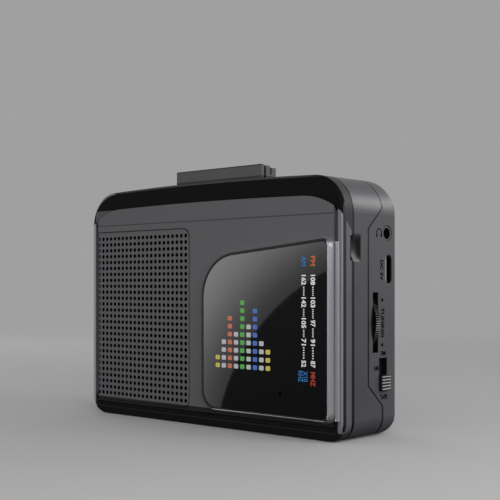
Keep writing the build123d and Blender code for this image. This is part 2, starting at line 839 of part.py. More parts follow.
def reel_spindle(x):
    """A reel spindle: a splined hub with a pointed tip, its flange and the collar behind it."""
    tip = spindle_radius - spindle_tooth
    flange_back = chassis_d - loose_gap
    flange_front = flange_back - spindle_base_thickness
    profile = Polyline(
        Vector(0, at_depth(spindle_tip_d), 0),
        Vector(tip / 2, at_depth(spindle_tip_d), 0),
        Vector(tip, at_depth(spindle_tip_d + 2 * spindle_tooth), 0),
        Vector(tip, at_depth(flange_front), 0),
        Vector(spindle_base_radius, at_depth(flange_front), 0),
        Vector(spindle_base_radius, at_depth(flange_back), 0),
        Vector(spindle_collar_radius, at_depth(flange_back), 0),
        Vector(spindle_collar_radius, at_depth(chassis_back_d + loose_gap), 0),
        Vector(0, at_depth(chassis_back_d + loose_gap), 0),
        close=True,
    )
    hub = revolve(make_face(profile), Axis.Y)
    for n in range(spindle_tooth_count):
        tooth = block(
            tip - spindle_tooth / 2, spindle_radius, spindle_tip_d + 3 * spindle_tooth,
            flange_front + spindle_base_thickness / 2, -spindle_tooth / 2, spindle_tooth / 2,
        )
        hub += Rot(0, full_turn / spindle_tooth_count * n, 0) * tooth
    return Pos(x, 0, spindle_z) * hub


def toothed_disc(x, z, radius, tooth, d0, d1, count):
    """A spur gear with straight-sided teeth, as one solid."""
    root = radius - tooth
    disc = rod_y(x, z, root, d0, d1)
    pitch = 2 * math.pi * radius / count
    teeth = []
    for n in range(count):
        one = block(root - tooth / 2, radius, d0, d1, -pitch / 4, pitch / 4)
        teeth.append(Pos(x, 0, z) * Rot(0, full_turn / count * n, 0) * one)
    return disc + teeth


def reel_gear(x, radius):
    """The gear on the rear end of a reel spindle."""
    front = chassis_back_d + loose_gap
    count = round(math.pi * radius / reel_gear_spacing)
    return toothed_disc(x, spindle_z, radius, reel_gear_tooth, front, front + reel_gear_thickness, count)


def capstan():
    """The capstan shaft, from the cassette to the flywheel."""
    return rod_y(capstan_x, capstan_z, capstan_radius, capstan_tip_d, flywheel_front_d + flywheel_thickness)


def capstan_bush():
    """The brass bush that the capstan runs in."""
    bush = rod_y(capstan_x, capstan_z, bush_radius, chassis_d, chassis_d + bush_length)
    return bush - rod_y(capstan_x, capstan_z, capstan_radius + running_gap, 0, depth)


def flywheel():
    """The heavy wheel on the capstan, hollowed on its rear face, with the belt's seat on its rim."""
    back = flywheel_front_d + flywheel_thickness
    wheel = rod_y(capstan_x, capstan_z, flywheel_radius, flywheel_front_d, back)
    hollow = rod_y(capstan_x, capstan_z, flywheel_radius - wall, back - wall, back + overrun)
    hollow -= rod_y(capstan_x, capstan_z, bush_radius, flywheel_front_d, back + overrun)
    wheel -= hollow
    groove = rod_y(capstan_x, capstan_z, flywheel_radius + overrun, belt_front_d - running_gap,
                   belt_front_d + belt_width + running_gap)
    groove -= rod_y(capstan_x, capstan_z, flywheel_radius - belt_thickness / 2, 0, depth)
    wheel -= groove
    return wheel - rod_y(capstan_x, capstan_z, capstan_radius, 0, depth)


def motor_parts():
    """The motor's can with its shaft hole, and the shaft with its pulley."""
    back = motor_front_d + motor_depth
    can = rod_y(motor_x, motor_z, motor_radius, motor_front_d, back)
    can -= rod_y(motor_x, motor_z, motor_shaft_radius + running_gap, 0, back - wall)
    pulley_front = chassis_back_d + loose_gap
    pulley_back = motor_front_d - loose_gap
    pulley = rod_y(motor_x, motor_z, motor_pulley_radius + belt_thickness / 2, pulley_front, pulley_back)
    groove = rod_y(motor_x, motor_z, motor_pulley_radius + overrun, belt_front_d - running_gap,
                   belt_front_d + belt_width + running_gap)
    groove -= rod_y(motor_x, motor_z, motor_pulley_radius, 0, depth)
    pulley -= groove
    pulley += rod_y(motor_x, motor_z, motor_shaft_radius, pulley_front, back - wall - loose_gap)
    return {"motor_can": can, "motor_pulley": pulley}


def belt_loop(grow):
    """The area inside a loop round the flywheel and the pulley, drawn out by a distance."""
    big = flywheel_radius - belt_thickness / 2 + running_gap + grow
    small = motor_pulley_radius + running_gap + grow
    run = math.hypot(capstan_x - motor_x, capstan_z - motor_z)
    heading = math.degrees(math.atan2(motor_z - capstan_z, motor_x - capstan_x))
    lean = math.degrees(math.acos((big - small) / run))
    spots = []
    for x, z, radius in ((capstan_x, capstan_z, big), (motor_x, motor_z, small)):
        for side in (1, -1):
            turn = math.radians(heading + side * lean)
            spots.append(point(x + radius * math.cos(turn), z + radius * math.sin(turn)))
    upper = Line(spots[0], spots[2])
    lower = Line(spots[3], spots[1])
    around_motor = quarter(motor_x, motor_z, small, heading + lean, heading - lean)
    around_wheel = quarter(capstan_x, capstan_z, big, heading - lean, heading + lean - full_turn)
    return flat_face(upper, around_motor, lower, around_wheel)


def drive_belt():
    """The flat belt from the motor's pulley to the flywheel."""
    outer = prism_y(belt_loop(belt_thickness), belt_front_d, belt_front_d + belt_width)
    return outer - prism_y(belt_loop(0), belt_front_d - overrun, belt_front_d + belt_width + overrun)


def head_parts():
    """The sliding head plate and the tape head that stands on it."""
    back = head_plate_d + head_plate_thickness
    plate = block(
        -head_plate_half, head_plate_half, head_plate_d, back, head_plate_low_z, head_plate_high_z
    )
    body = block(
        -head_width / 2, head_width / 2, head_front_d, head_plate_d, head_low_z + head_nose, head_high_z
    )
    nose = rod_y(0, head_low_z + head_width / 2, head_width / 2, head_front_d, head_plate_d - wall)
    nose &= block(-head_width / 2, head_width / 2, 0, depth, 0, head_low_z + head_nose + wall)
    return {"head_plate": plate, "tape_head": body + nose}


def pinch_parts():
    """The swinging arm with its pivot hole and axle, and the rubber roller on the axle."""
    back = head_plate_d + head_plate_thickness
    run = math.hypot(pinch_x - pinch_pivot_x, pinch_z - pinch_pivot_z)
    heading = math.degrees(math.atan2(pinch_z - pinch_pivot_z, pinch_x - pinch_pivot_x))
    bar = block(0, run, head_plate_d, back, -pinch_arm_width / 2, pinch_arm_width / 2)
    arm = Pos(pinch_pivot_x, 0, pinch_pivot_z) * Rot(0, -heading, 0) * bar
    for x, z in ((pinch_x, pinch_z), (pinch_pivot_x, pinch_pivot_z)):
        arm += rod_y(x, z, pinch_arm_width / 2, head_plate_d, back)
    arm -= rod_y(pinch_pivot_x, pinch_pivot_z, pinch_axle_radius + running_gap, 0, depth)
    roller_back = head_plate_d - loose_gap
    roller_front = roller_back - pinch_width
    arm += rod_y(pinch_x, pinch_z, pinch_axle_radius, roller_front, head_plate_d)
    roller = rod_y(pinch_x, pinch_z, pinch_radius, roller_front, roller_back)
    roller -= rod_y(pinch_x, pinch_z, pinch_axle_radius + running_gap, 0, depth)
    return {"pinch_arm": arm, "pinch_roller": roller}


def deck_pins():
    """The pinch arm's pivot with its cap, and the two tapered pins that place a cassette."""
    cap_back = head_plate_d - loose_gap
    pivot = rod_y(pinch_pivot_x, pinch_pivot_z, pinch_axle_radius, cap_back, chassis_d)
    pivot += rod_y(pinch_pivot_x, pinch_pivot_z, pinch_arm_width / 2, cap_back - overrun, cap_back)
    pins = [pivot]
    for side in (-1, 1):
        x = side * locating_pin_x
        stem = rod_y(x, locating_pin_z, locating_pin_radius, locating_pin_tip_d, chassis_d)
        tip = stem.faces().sort_by(Axis.Y)[0].edges()
        pins.append(chamfer(tip, locating_pin_radius / 2))
    return Compound(pins)


def motor_posts():
    """The two posts that hold the motor off the deck plate."""
    posts = []
    for side in (-1, 1):
        z = motor_z + side * (motor_radius - motor_post_inset)
        posts.append(rod_y(motor_x, z, motor_post_radius, chassis_back_d, motor_front_d))
    return Compound(posts)


def key_solid(low, high):
    """One key: a cap with two long ribs, a lower one behind, and the flange that keeps it in."""
    back = key_front_d + key_depth
    middle = key_front_d + key_depth / 2
    cap = block(low, high, key_front_d, back, key_flange_z, key_top_z)
    edges = cap.faces().sort_by(Axis.Z)[-1].edges()
    cap = fillet(edges, key_edge)
    cap -= block(low - overrun, high + overrun, middle, back + overrun, key_top_z - key_step, key_top_z)
    groove_low = key_top_z - key_step - key_groove_depth
    cap -= block(
        low - overrun, high + overrun, middle - key_groove / 2, middle + key_groove / 2, groove_low,
        key_top_z + overrun,
    )
    flange = block(
        low, high, key_front_d - key_flange_side, back + key_flange_side, key_flange_z,
        key_flange_z + key_flange_height,
    )
    return cap + flange


def key_parts():
    """The row of keys, from the left, and the return spring under each of them."""
    middles, share = spread(len(key_names), -key_row_half, key_row_half)
    parts = {}
    for name, middle in zip(key_names, middles):
        reach = (share - key_gap) / 2
        parts[f"{name}_key"] = key_solid(middle - reach, middle + reach)
        spring = upright(middle, spring_d, spring_radius, bracket_z + bracket_thickness, key_flange_z)
        spring -= upright(middle, spring_d, spring_radius - spring_wire, 0, height)
        parts[f"{name}_spring"] = spring
    foot_x = middles[-1]
    parts["play_key"] += block(
        foot_x - foot_width / 2, foot_x + foot_width / 2, head_plate_d, head_plate_d + head_plate_thickness,
        head_plate_high_z + foot_gap, key_flange_z + key_flange_height / 2,
    )
    return parts


def key_bracket():
    """The bar under the key springs, its ends turned back to the deck plate as the head's guides."""
    top = bracket_z + bracket_thickness
    inner = head_plate_half + bracket_gap
    outer = inner + bracket_tab
    bar = block(-outer, outer, bracket_front_d, bracket_back_d, bracket_z, top)
    for side in (-1, 1):
        low, high = sorted((side * inner, side * outer))
        bar += block(low, high, bracket_front_d, chassis_d, bracket_low_z, top)
    return bar


def key_guard():
    """The fixed bar in front of the keys, its foot following the arched top."""
    body = block(
        -key_row_half, key_row_half, guard_front_d, guard_front_d + guard_thickness, height - 2 * wall,
        guard_top_z,
    )
    corners = body.edges().filter_by(Axis.Y).sort_by(Axis.Z)[-2:]
    body = fillet(corners, key_edge)
    return body - prism_y(outline(0), 0, depth)


def knurled_wheel(x, z, radius):
    """A thumb wheel with a knurled rim."""
    half = tuning_thickness / 2
    return toothed_disc(x, z, radius, knurl_depth, tuning_d - half, tuning_d + half, knurl_count)


def control_body(x, z, half_x, back_d, low_z, high_z):
    """The block behind a thumb wheel that its shaft turns in, with the shaft's bore."""
    front = tuning_d + tuning_thickness / 2 + loose_gap
    body = block(x - half_x, x + half_x, front, back_d, low_z, high_z)
    return body - rod_y(x, z, wheel_shaft_radius + running_gap, 0, depth)


def wheel_shaft(x, z):
    """The shaft that carries a thumb wheel."""
    half = tuning_thickness / 2
    return rod_y(x, z, wheel_shaft_radius, tuning_d - half, tuning_d + half + wheel_shaft_length)


def switch_parts():
    """The slide switch: its body inside, and the ridged knob in the slot."""
    inside = half_width - wall - loose_gap
    half = switch_slot_height / 2 + wall
    reach = switch_slot_width / 2 + wall / 3
    body = block(inside - 2 * wall, inside, switch_d - reach, board_d, switch_z - half, switch_z + half)
    knob_low = switch_z - switch_slot_height / 2 + loose_gap / 2
    knob_high = knob_low + switch_knob_height
    width_half = switch_slot_width / 2 - seam_gap
    outer = half_width + switch_proud
    knob = block(inside + seam_gap, outer, switch_d - width_half, switch_d + width_half, knob_low, knob_high)
    places, share = spread(switch_ridge_count, knob_low, knob_high)
    for z in places[:-1]:
        edge = z + share / 2
        knob -= block(
            outer - share / 2, outer + overrun, 0, depth, edge - share / 4, edge + share / 4
        )
    return {"mode_switch_body": body, "mode_switch_knob": knob}


def jack_parts():
    """The headphone socket: its body behind the wall and the ring in it."""
    outer = half_width - seam_gap
    shoulder = half_width - wall - loose_gap
    ring = rod_x_axis(shoulder - overrun, outer, jack_d, jack_z, jack_ring_radius - seam_gap)
    back = half_width - jack_length
    half = jack_body / 2
    body = block(back, shoulder, jack_d - half, board_d, jack_z - half, jack_z + half)
    socket = body + ring
    return socket - rod_x_axis(back + overrun, half_width + overrun, jack_d, jack_z, jack_hole_radius)


def capsule_x(x0, x1, d, z, half_height, radius):
    """A rounded bar along X."""
    reach = half_height - radius
    bar = block(x0, x1, d - radius, d + radius, z - reach, z + reach)
    for side in (-1, 1):
        bar += rod_x_axis(x0, x1, d, z + side * reach, radius)
    return bar


def port_parts():
    """The charging port: its metal shell and the tongue inside."""
    outer = half_width - seam_gap
    back = outer - port_length
    radius = port_width / 2 - port_shell_gap
    half = port_height / 2 - port_shell_gap
    shell = capsule_x(back, outer, port_d, port_z, half, radius)
    inner_radius = radius - port_shell_wall
    inner_half = half - port_shell_wall
    shell -= capsule_x(back + overrun, outer + overrun, port_d, port_z, inner_half, inner_radius)
    tongue_half = inner_half - inner_radius / 2
    tongue = block(
        back + overrun, outer - overrun, port_d - port_tongue / 2, port_d + port_tongue / 2,
        port_z - tongue_half, port_z + tongue_half,
    )
    leg = block(
        back, board_right_x, port_d + radius - port_shell_wall / 2, board_d, port_z - port_leg_half,
        port_z + port_leg_half,
    )
    return {"charging_port": shell + leg, "charging_tongue": tongue}


def circuit_board():
    """The main board, cut back round the screw bosses."""
    board = block(
        board_left_x, board_right_x, board_d, board_d + board_thickness, board_low_z, board_high_z
    )
    board &= prism_y(outline(wall + board_edge_gap), 0, depth)
    for x, z in screw_spots:
        board -= rod_y(x, z, boss_radius + loose_gap, 0, depth)
    board -= rod_y(motor_x, motor_z, motor_radius + loose_gap, 0, depth)
    return board


def board_chips():
    """The larger parts on the board: two chips and two capacitors."""
    pieces = []
    for x, z, size in chip_spots:
        half = size / 2
        pieces.append(block(x - half, x + half, board_d - wall, board_d, z - half, z + half))
    for x, z in capacitor_spots:
        pieces.append(rod_y(x, z, capacitor_radius, board_d - capacitor_length, board_d))
    return Compound(pieces)


def antenna_parts():
    """The ferrite rod for the radio and the coil wound on it."""
    low = rod_x - rod_length / 2
    high = rod_x + rod_length / 2
    rod = rod_x_axis(low, high, rod_d, rod_z, rod_radius)
    coil_low = rod_x - coil_length / 2
    coil_high = rod_x + coil_length / 2
    coil = rod_x_axis(coil_low, coil_high, rod_d, rod_z, rod_radius + coil_thickness)
    return {"antenna_rod": rod, "antenna_coil": coil - rod}


def battery_contacts():
    """The sprung and the flat contacts at the two ends of the battery bay."""
    middle = (chassis_back_d + depth - battery_door_thickness) / 2
    front = middle - cell_radius / 2
    back = middle + cell_radius / 2
    pieces = []
    for side in (-1, 1):
        x = bay_x + side * (cell_radius + cell_gap)
        low = x - cell_radius / 2
        high = x + cell_radius / 2
        pieces.append(
            block(low, high, front, back, battery_low_z, battery_low_z + contact_thickness)
        )
        pieces.append(
            block(low, high, front, back, battery_high_z - contact_thickness, battery_high_z)
        )
    return Compound(pieces)


def battery_door():
    """The battery door: a plate with a lip round the left edge and a ribbed thumb patch."""
    door = rear_body(rear_seam_d) & battery_door_area(0)
    middle_z = (battery_low_z + battery_high_z) / 2
    half = thumb_patch / 2
    places, share = spread(thumb_groove_count, bay_x, bay_x + thumb_patch)
    for x in places:
        door -= block(
            x - share / 4, x + share / 4, depth - line_depth, depth + overrun, middle_z - half,
            middle_z + half,
        )
    return door


def cover_screws():
    """The four screws that hold the rear cover."""
    pieces = []
    half = screw_slot / 2
    reach = screw_head_radius - screw_slot
    for x, z in screw_spots:
        back = depth - screw_sink
        under = back - screw_head_height
        screw = rod_y(x, z, screw_head_radius, under, back) + rod_y(x, z, screw_radius, chassis_d, under)
        floor = back - screw_slot
        screw -= block(x - reach, x + reach, floor, depth, z - half, z + half)
        screw -= block(x - half, x + half, floor, depth, z - reach, z + reach)
        pieces.append(screw)
    return Compound(pieces)


def all_parts():
    """Every piece under the name of its node."""
    parts = {
        "door_shell": door_shell(),
        "door_front_plate": door_front_plate(),
        "speaker_grille": speaker_grille(),
        "window_bezel": window_bezel(),
        "window_lens": window_lens(),
        "indicator_light": indicator_light(),
        "cassette_springs": cassette_springs(),
        "front_frame": front_frame(),
        "hinge_pins": hinge_pins(),
        "middle_housing": middle_housing(),
        "rear_cover": rear_cover(),
        "chassis_plate": chassis_plate(),
        "take_up_spindle": reel_spindle(spindle_half_distance),
        "supply_spindle": reel_spindle(-spindle_half_distance),
        "take_up_gear": reel_gear(spindle_half_distance, take_up_gear_radius),
        "supply_gear": reel_gear(-spindle_half_distance, supply_gear_radius),
        "capstan": capstan(),
        "capstan_bush": capstan_bush(),
        "flywheel": flywheel(),
        "drive_belt": drive_belt(),
        "key_guard": key_guard(),
        "tuning_wheel": knurled_wheel(tuning_wheel_x(), tuning_z, tuning_radius),
        "tuning_shaft": wheel_shaft(tuning_wheel_x(), tuning_z),
        "tuning_capacitor": control_body(
            tuning_wheel_x(), tuning_z, capacitor_half_x, board_d, tuning_z - capacitor_half_z,
            tuning_z + capacitor_half_z,
        ),
        "volume_wheel": knurled_wheel(volume_wheel_x(), volume_z, volume_radius),
        "volume_shaft": wheel_shaft(volume_wheel_x(), volume_z),
        "volume_control": control_body(
            volume_wheel_x(), volume_z, volume_half, volume_back_d, battery_high_z + battery_wall,
            volume_z + volume_half,
        ),
        "headphone_jack": jack_parts(),
        "circuit_board": circuit_board(),
        "board_chips": board_chips(),
        "battery_contacts": battery_contacts(),
        "deck_pins": deck_pins(),
        "motor_posts": motor_posts(),
        "key_bracket": key_bracket(),
        "battery_door": battery_door(),
        "cover_screws": cover_screws(),
    }
    parts.update(speaker_parts())
    parts.update(motor_parts())
    parts.update(head_parts())
    parts.update(pinch_parts())
    parts.update(switch_parts())
    parts.update(port_parts())
    parts.update(antenna_parts())
    parts.update(key_parts())
    parts["tuning_wheel"] -= parts["tuning_shaft"]
    parts["volume_wheel"] -= parts["volume_shaft"]
    return parts


def main():
    """Writes one STEP file for each piece."""
    os.makedirs("parts", exist_ok=True)
    for name, shape in all_parts().items():
        export_step(shape, f"parts/{name}.step")
        print(name, len(shape.solids()), round(shape.volume))


main()
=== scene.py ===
"""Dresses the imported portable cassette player: a perforated speaker grille, the printed dial, marks on
the side, coiled springs, and the finishes of every piece. Lengths are in metres, depths are measured
back from the flat front of the door."""

import math

import bpy
from mathutils import Matrix, Vector


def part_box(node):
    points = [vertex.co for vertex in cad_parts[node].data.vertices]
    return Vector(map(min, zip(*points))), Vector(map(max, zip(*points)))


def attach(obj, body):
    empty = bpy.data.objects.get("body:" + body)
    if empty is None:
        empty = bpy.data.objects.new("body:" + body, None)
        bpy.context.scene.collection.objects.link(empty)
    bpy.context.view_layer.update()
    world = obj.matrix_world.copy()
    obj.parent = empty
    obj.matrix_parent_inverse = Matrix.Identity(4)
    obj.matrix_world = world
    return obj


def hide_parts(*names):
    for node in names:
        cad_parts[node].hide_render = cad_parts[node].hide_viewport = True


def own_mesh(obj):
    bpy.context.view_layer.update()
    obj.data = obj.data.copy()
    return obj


bl_info = {
    "name": "Portable cassette player looks",
    "version": (1, 0, 0),
    "blender": (4, 5, 0),
    "location": "3D View > Sidebar > Player",
    "description": "Finishes, printing and fine pieces for a portable cassette player",
    "category": "Object",
}

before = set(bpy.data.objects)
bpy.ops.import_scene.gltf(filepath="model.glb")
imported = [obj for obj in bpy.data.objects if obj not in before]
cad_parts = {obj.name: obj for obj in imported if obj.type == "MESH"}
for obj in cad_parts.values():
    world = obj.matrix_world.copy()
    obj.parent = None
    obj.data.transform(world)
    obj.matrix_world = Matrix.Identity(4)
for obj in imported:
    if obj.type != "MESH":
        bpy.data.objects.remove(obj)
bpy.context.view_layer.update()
FRONT_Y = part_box("door_front_plate")[0].y
SIDE_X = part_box("middle_housing")[1].x
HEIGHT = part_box("front_frame")[1].z
MM = 0.001


def mm(*values):
    """Lengths in millimetres as metres."""
    return tuple(value * MM for value in values)


def place(x, d, z):
    """A point from its X, depth and height in millimetres."""
    return Vector((x * MM, FRONT_Y + d * MM, z * MM))


def linear(red, green, blue):
    """A screen colour from 0 to 255 as the linear colour that shaders take."""

    def one(value):
        share = value / 255
        return share / 12.92 if share <= 0.04045 else ((share + 0.055) / 1.055) ** 2.4

    return (one(red), one(green), one(blue), 1.0)


# ---------------------------------------------------------------- shader maths


class Value:
    """A shader socket that can be added, multiplied and compared like a number."""

    def __init__(self, finish, socket):
        self.finish = finish
        self.socket = socket

    def maths(self, operation, *others, swap=False):
        sources = [self, *others]
        if swap:
            sources.reverse()
        return self.finish.node("Math", {"operation": operation}, dict(enumerate(sources)))

    def __add__(self, other):
        return self.maths("ADD", other)

    __radd__ = __add__

    def __sub__(self, other):
        return self.maths("SUBTRACT", other)

    def __rsub__(self, other):
        return self.maths("SUBTRACT", other, swap=True)

    def __mul__(self, other):
        return self.maths("MULTIPLY", other)

    __rmul__ = __mul__

    def __truediv__(self, other):
        return self.maths("DIVIDE", other)

    def __gt__(self, other):
        return self.maths("GREATER_THAN", other)

    def __lt__(self, other):
        return self.maths("LESS_THAN", other)

    def least(self, other):
        return self.maths("MINIMUM", other)

    def most(self, other):
        return self.maths("MAXIMUM", other)

    def sine(self):
        return self.maths("SINE")

    def size(self):
        return self.maths("ABSOLUTE")

    def clipped(self):
        return self.finish.node(
            "Clamp", {}, {"Value": self, "Min": 0.0, "Max": 1.0}, output="Result"
        )

    def ramp(self, low, high):
        """0 below low, 1 above high, smooth between."""
        return self.finish.node(
            "MapRange",
            {"interpolation_type": "SMOOTHSTEP"},
            {"Value": self, "From Min": low, "From Max": high, "To Min": 0.0, "To Max": 1.0},
            output="Result",
        )


class Finish:
    """A node material with one Principled shader, built from expressions."""

    def __init__(self, name, colour, roughness=0.5, metallic=0.0, **sockets):
        self.material = bpy.data.materials.new(name)
        self.material.use_nodes = True
        self.material.diffuse_color = colour
        self.tree = self.material.node_tree
        self.shader = next(n for n in self.tree.nodes if n.type == "BSDF_PRINCIPLED")
        self.output = next(n for n in self.tree.nodes if n.type == "OUTPUT_MATERIAL")
        self.set("Base Color", colour)
        self.set("Roughness", roughness)
        self.set("Metallic", metallic)
        for socket, value in sockets.items():
            self.set(socket.replace("_", " "), value)
        self._place = None

    def set(self, socket, value):
        """Feeds one socket of the shader with a plain value or an expression."""
        self.feed(self.shader.inputs[socket], value)

    def feed(self, target, value):
        if isinstance(value, Value):
            self.tree.links.new(value.socket, target)
        else:
            target.default_value = value

    def node(self, kind, settings, inputs, output=0):
        """Adds a node, its settings first, and returns one output as a Value."""
        made = self.tree.nodes.new("ShaderNode" + kind)
        for key, value in settings.items():
            setattr(made, key, value)
        for key, value in inputs.items():
            self.feed(made.inputs[key], value)
        return Value(self, made.outputs[output])

    @property
    def position(self):
        """The object's own coordinates, in metres."""
        if self._place is None:
            self._place = self.node("TexCoord", {}, {}, output="Object")
        return self._place

    def axes(self):
        """X, Y and Z of the object's own coordinates, in millimetres."""
        split = self.tree.nodes.new("ShaderNodeSeparateXYZ")
        self.tree.links.new(self.position.socket, split.inputs[0])
        return [Value(self, out) * 1000.0 for out in split.outputs]

    def noise(self, scale, detail=3.0, roughness=0.6, stretch=None):
        """Noise whose grains are about one over scale metres across, drawn out by stretch."""
        vector = self.position
        if stretch:
            vector = self.node("Mapping", {}, {"Vector": self.position, "Scale": stretch}, output="Vector")
        return self.node(
            "TexNoise", {}, {"Vector": vector, "Scale": scale, "Detail": detail, "Roughness": roughness},
            output="Fac",
        )

    def cells(self, scale, feature="F1"):
        return self.node(
            "TexVoronoi", {"feature": feature}, {"Vector": self.position, "Scale": scale}, output="Distance"
        )

    def mix(self, factor, first, second):
        """One colour turning into another."""
        made = self.tree.nodes.new("ShaderNodeMix")
        made.data_type = "RGBA"
        self.feed(made.inputs[0], factor)
        self.feed(made.inputs[6], first)
        self.feed(made.inputs[7], second)
        return Value(self, made.outputs[2])

    def overlay(self, factor, colour):
        """Lays a second colour over what feeds the base colour."""
        under = Value(self, self.shader.inputs["Base Color"].links[0].from_socket)
        self.set("Base Color", self.mix(factor, under, colour))

    def depth(self):
        """X, the depth behind the door's front, and Z, in millimetres."""
        x, y, z = self.axes()
        return x, y - FRONT_Y / MM, z

    def bump(self, height, strength, distance, base=None):
        """A surface relief, fed to Normal."""
        inputs = {"Height": height, "Strength": strength, "Distance": distance}
        if base is not None:
            inputs["Normal"] = base
        made = self.node("Bump", {}, inputs, output="Normal")
        self.set("Normal", made)
        return made

    def soft_edges(self, radius):
        """Rounds the look of sharp edges by a radius in metres."""
        return self.node("Bevel", {"samples": 6}, {"Radius": radius}, output="Normal")


def shade(colour, factor):
    """A colour made lighter or darker."""
    return (*[channel * factor for channel in colour[:3]], 1.0)


# ---------------------------------------------------------------- finishes


def moulded_plastic(name, colour, roughness=0.5, edge=0.00025, grain=1.0):
    """Painted or moulded plastic: a fine even texture, slight blotches and worn edges."""
    finish = Finish(name, colour, roughness, Specular_IOR_Level=0.45)
    fine = finish.noise(9000.0, 2.0, 0.5)
    broad = finish.noise(60.0, 4.0, 0.6)
    mottled = finish.mix(broad.ramp(0.35, 0.7), shade(colour, 0.93), shade(colour, 1.07))
    finish.set("Base Color", mottled)
    finish.set("Roughness", broad * 0.12 + (roughness - 0.06))
    finish.bump(fine, 0.12 * grain, 0.00006, finish.soft_edges(edge))
    return finish


def brushed_metal(name, colour, roughness=0.35, along="x", edge=0.0002, metallic=0.75):
    """Metal with fine brush lines along one axis."""
    stretch = {"x": (1.0, 60.0, 60.0), "y": (60.0, 1.0, 60.0), "z": (60.0, 60.0, 1.0)}[along]
    finish = Finish(name, colour, roughness, metallic)
    lines = finish.noise(120.0, 6.0, 0.7, stretch)
    finish.set("Base Color", finish.mix(lines, shade(colour, 0.86), shade(colour, 1.12)))
    finish.set("Roughness", lines * 0.16 + (roughness - 0.08))
    finish.bump(lines, 0.06, 0.00003, finish.soft_edges(edge))
    return finish


def turned_metal(name, colour, centre, roughness=0.28):
    """Metal turned on a lathe about an axis along Y through a centre in millimetres."""
    finish = Finish(name, colour, roughness, 1.0)
    x, _, z = finish.axes()
    span = finish.node(
        "Math", {"operation": "SQRT"}, {0: (x - centre[0]) * (x - centre[0]) + (z - centre[1]) * (z - centre[1])}
    )
    rings = (span * 42.0).sine() * 0.5 + 0.5
    uneven = finish.noise(700.0, 3.0)
    finish.set("Roughness", rings * 0.1 + uneven * 0.12 + (roughness - 0.1))
    finish.set("Base Color", finish.mix(uneven, shade(colour, 0.9), shade(colour, 1.05)))
    finish.bump(rings, 0.05, 0.00002, finish.soft_edges(0.00015))
    return finish


def plain_metal(name, colour, roughness=0.3):
    """Bright plated metal with faint handling marks."""
    finish = Finish(name, colour, roughness, 1.0)
    marks = finish.noise(400.0, 5.0, 0.7)
    finish.set("Roughness", marks * 0.2 + (roughness - 0.1))
    finish.set("Base Color", finish.mix(marks, shade(colour, 0.92), shade(colour, 1.04)))
    finish.bump(marks, 0.04, 0.00003, finish.soft_edges(0.0001))
    return finish


def soft_rubber(name, colour, roughness=0.75):
    """Matt rubber with a dusty bloom."""
    finish = Finish(name, colour, roughness, Specular_IOR_Level=0.3)
    dust = finish.noise(900.0, 5.0, 0.7)
    finish.set("Base Color", finish.mix(dust.ramp(0.45, 0.8), colour, shade(colour, 1.8)))
    finish.bump(dust, 0.15, 0.00005, finish.soft_edges(0.0002))
    return finish


def ink(name, colour, glow=0.0):
    """Printing ink: flat, slightly uneven and satin."""
    finish = Finish(name, colour, 0.45)
    uneven = finish.noise(2500.0, 3.0)
    finish.set("Base Color", finish.mix(uneven.ramp(0.3, 0.75), shade(colour, 0.85), colour))
    # Painted light: with glow the printing shines by itself, though it is no lamp.
    if glow:
        finish.set("Emission Color", colour)
        finish.set("Emission Strength", glow)
    return finish


# ---------------------------------------------------------------- modelling by hand


def leave_edit():
    if bpy.context.object and bpy.context.object.mode != "OBJECT":
        bpy.ops.object.mode_set(mode="OBJECT")


def let_go():
    """Selects nothing."""
    leave_edit()
    bpy.ops.object.select_all(action="DESELECT")


def hold(piece):
    """Selects one piece alone and makes it active."""
    let_go()
    piece.select_set(True)
    bpy.context.view_layer.objects.active = piece
    return piece


def fix_place(piece):
    """Moves a piece's place, turn and scale into its mesh."""
    hold(piece)
    bpy.ops.object.transform_apply(location=True, rotation=True, scale=True)
    return piece


def slab(name, low, high):
    """A box between two corners, as (x, depth, z) in millimetres."""
    let_go()
    first, last = place(*low), place(*high)
    bpy.ops.mesh.primitive_cube_add(size=1.0, location=(first + last) / 2)
    piece = bpy.context.object
    piece.name = name
    piece.scale = last - first
    return fix_place(piece)


def pin_y(name, x, z, radius, d0, d1, sides=16):
    """A round bar along Y."""
    let_go()
    centre = (place(x, d0, z) + place(x, d1, z)) / 2
    bpy.ops.mesh.primitive_cylinder_add(
        vertices=sides, radius=radius * MM, depth=abs(d1 - d0) * MM, location=centre,
        rotation=(math.pi / 2, 0, 0),
    )
    piece = bpy.context.object
    piece.name = name
    return fix_place(piece)


def modify(piece, kind, **settings):
    """Adds a modifier and applies it."""
    hold(piece)
    made = piece.modifiers.new(kind.title(), kind)
    for key, value in settings.items():
        setattr(made, key, value)
    bpy.ops.object.modifier_apply(modifier=made.name)
    return piece


def pick(piece, kind, wanted):
    """In edit mode, selects the vertices, edges or faces that a test wants."""
    hold(piece)
    bpy.ops.object.mode_set(mode="EDIT")
    bpy.ops.mesh.select_mode(type=kind)
    bpy.ops.mesh.select_all(action="DESELECT")
    bpy.ops.object.mode_set(mode="OBJECT")
    data = piece.data
    parts = {"VERT": data.vertices, "EDGE": data.edges, "FACE": data.polygons}[kind]
    for part in parts:
        if kind == "EDGE":
            part.select = wanted(*[data.vertices[n].co for n in part.vertices])
        elif kind == "FACE":
            part.select = wanted(part.center, part.normal)
        else:
            part.select = wanted(part.co)
    bpy.ops.object.mode_set(mode="EDIT")


def joined(name, pieces):
    """Several pieces as one object."""
    let_go()
    for piece in pieces:
        piece.select_set(True)
    bpy.context.view_layer.objects.active = pieces[0]
    if len(pieces) > 1:
        bpy.ops.object.join()
    pieces[0].name = name
    return pieces[0]


def dress(piece, *finishes):
    """Gives a piece its finishes."""
    piece.data.materials.clear()
    for finish in finishes:
        piece.data.materials.append(finish.material)
    return piece


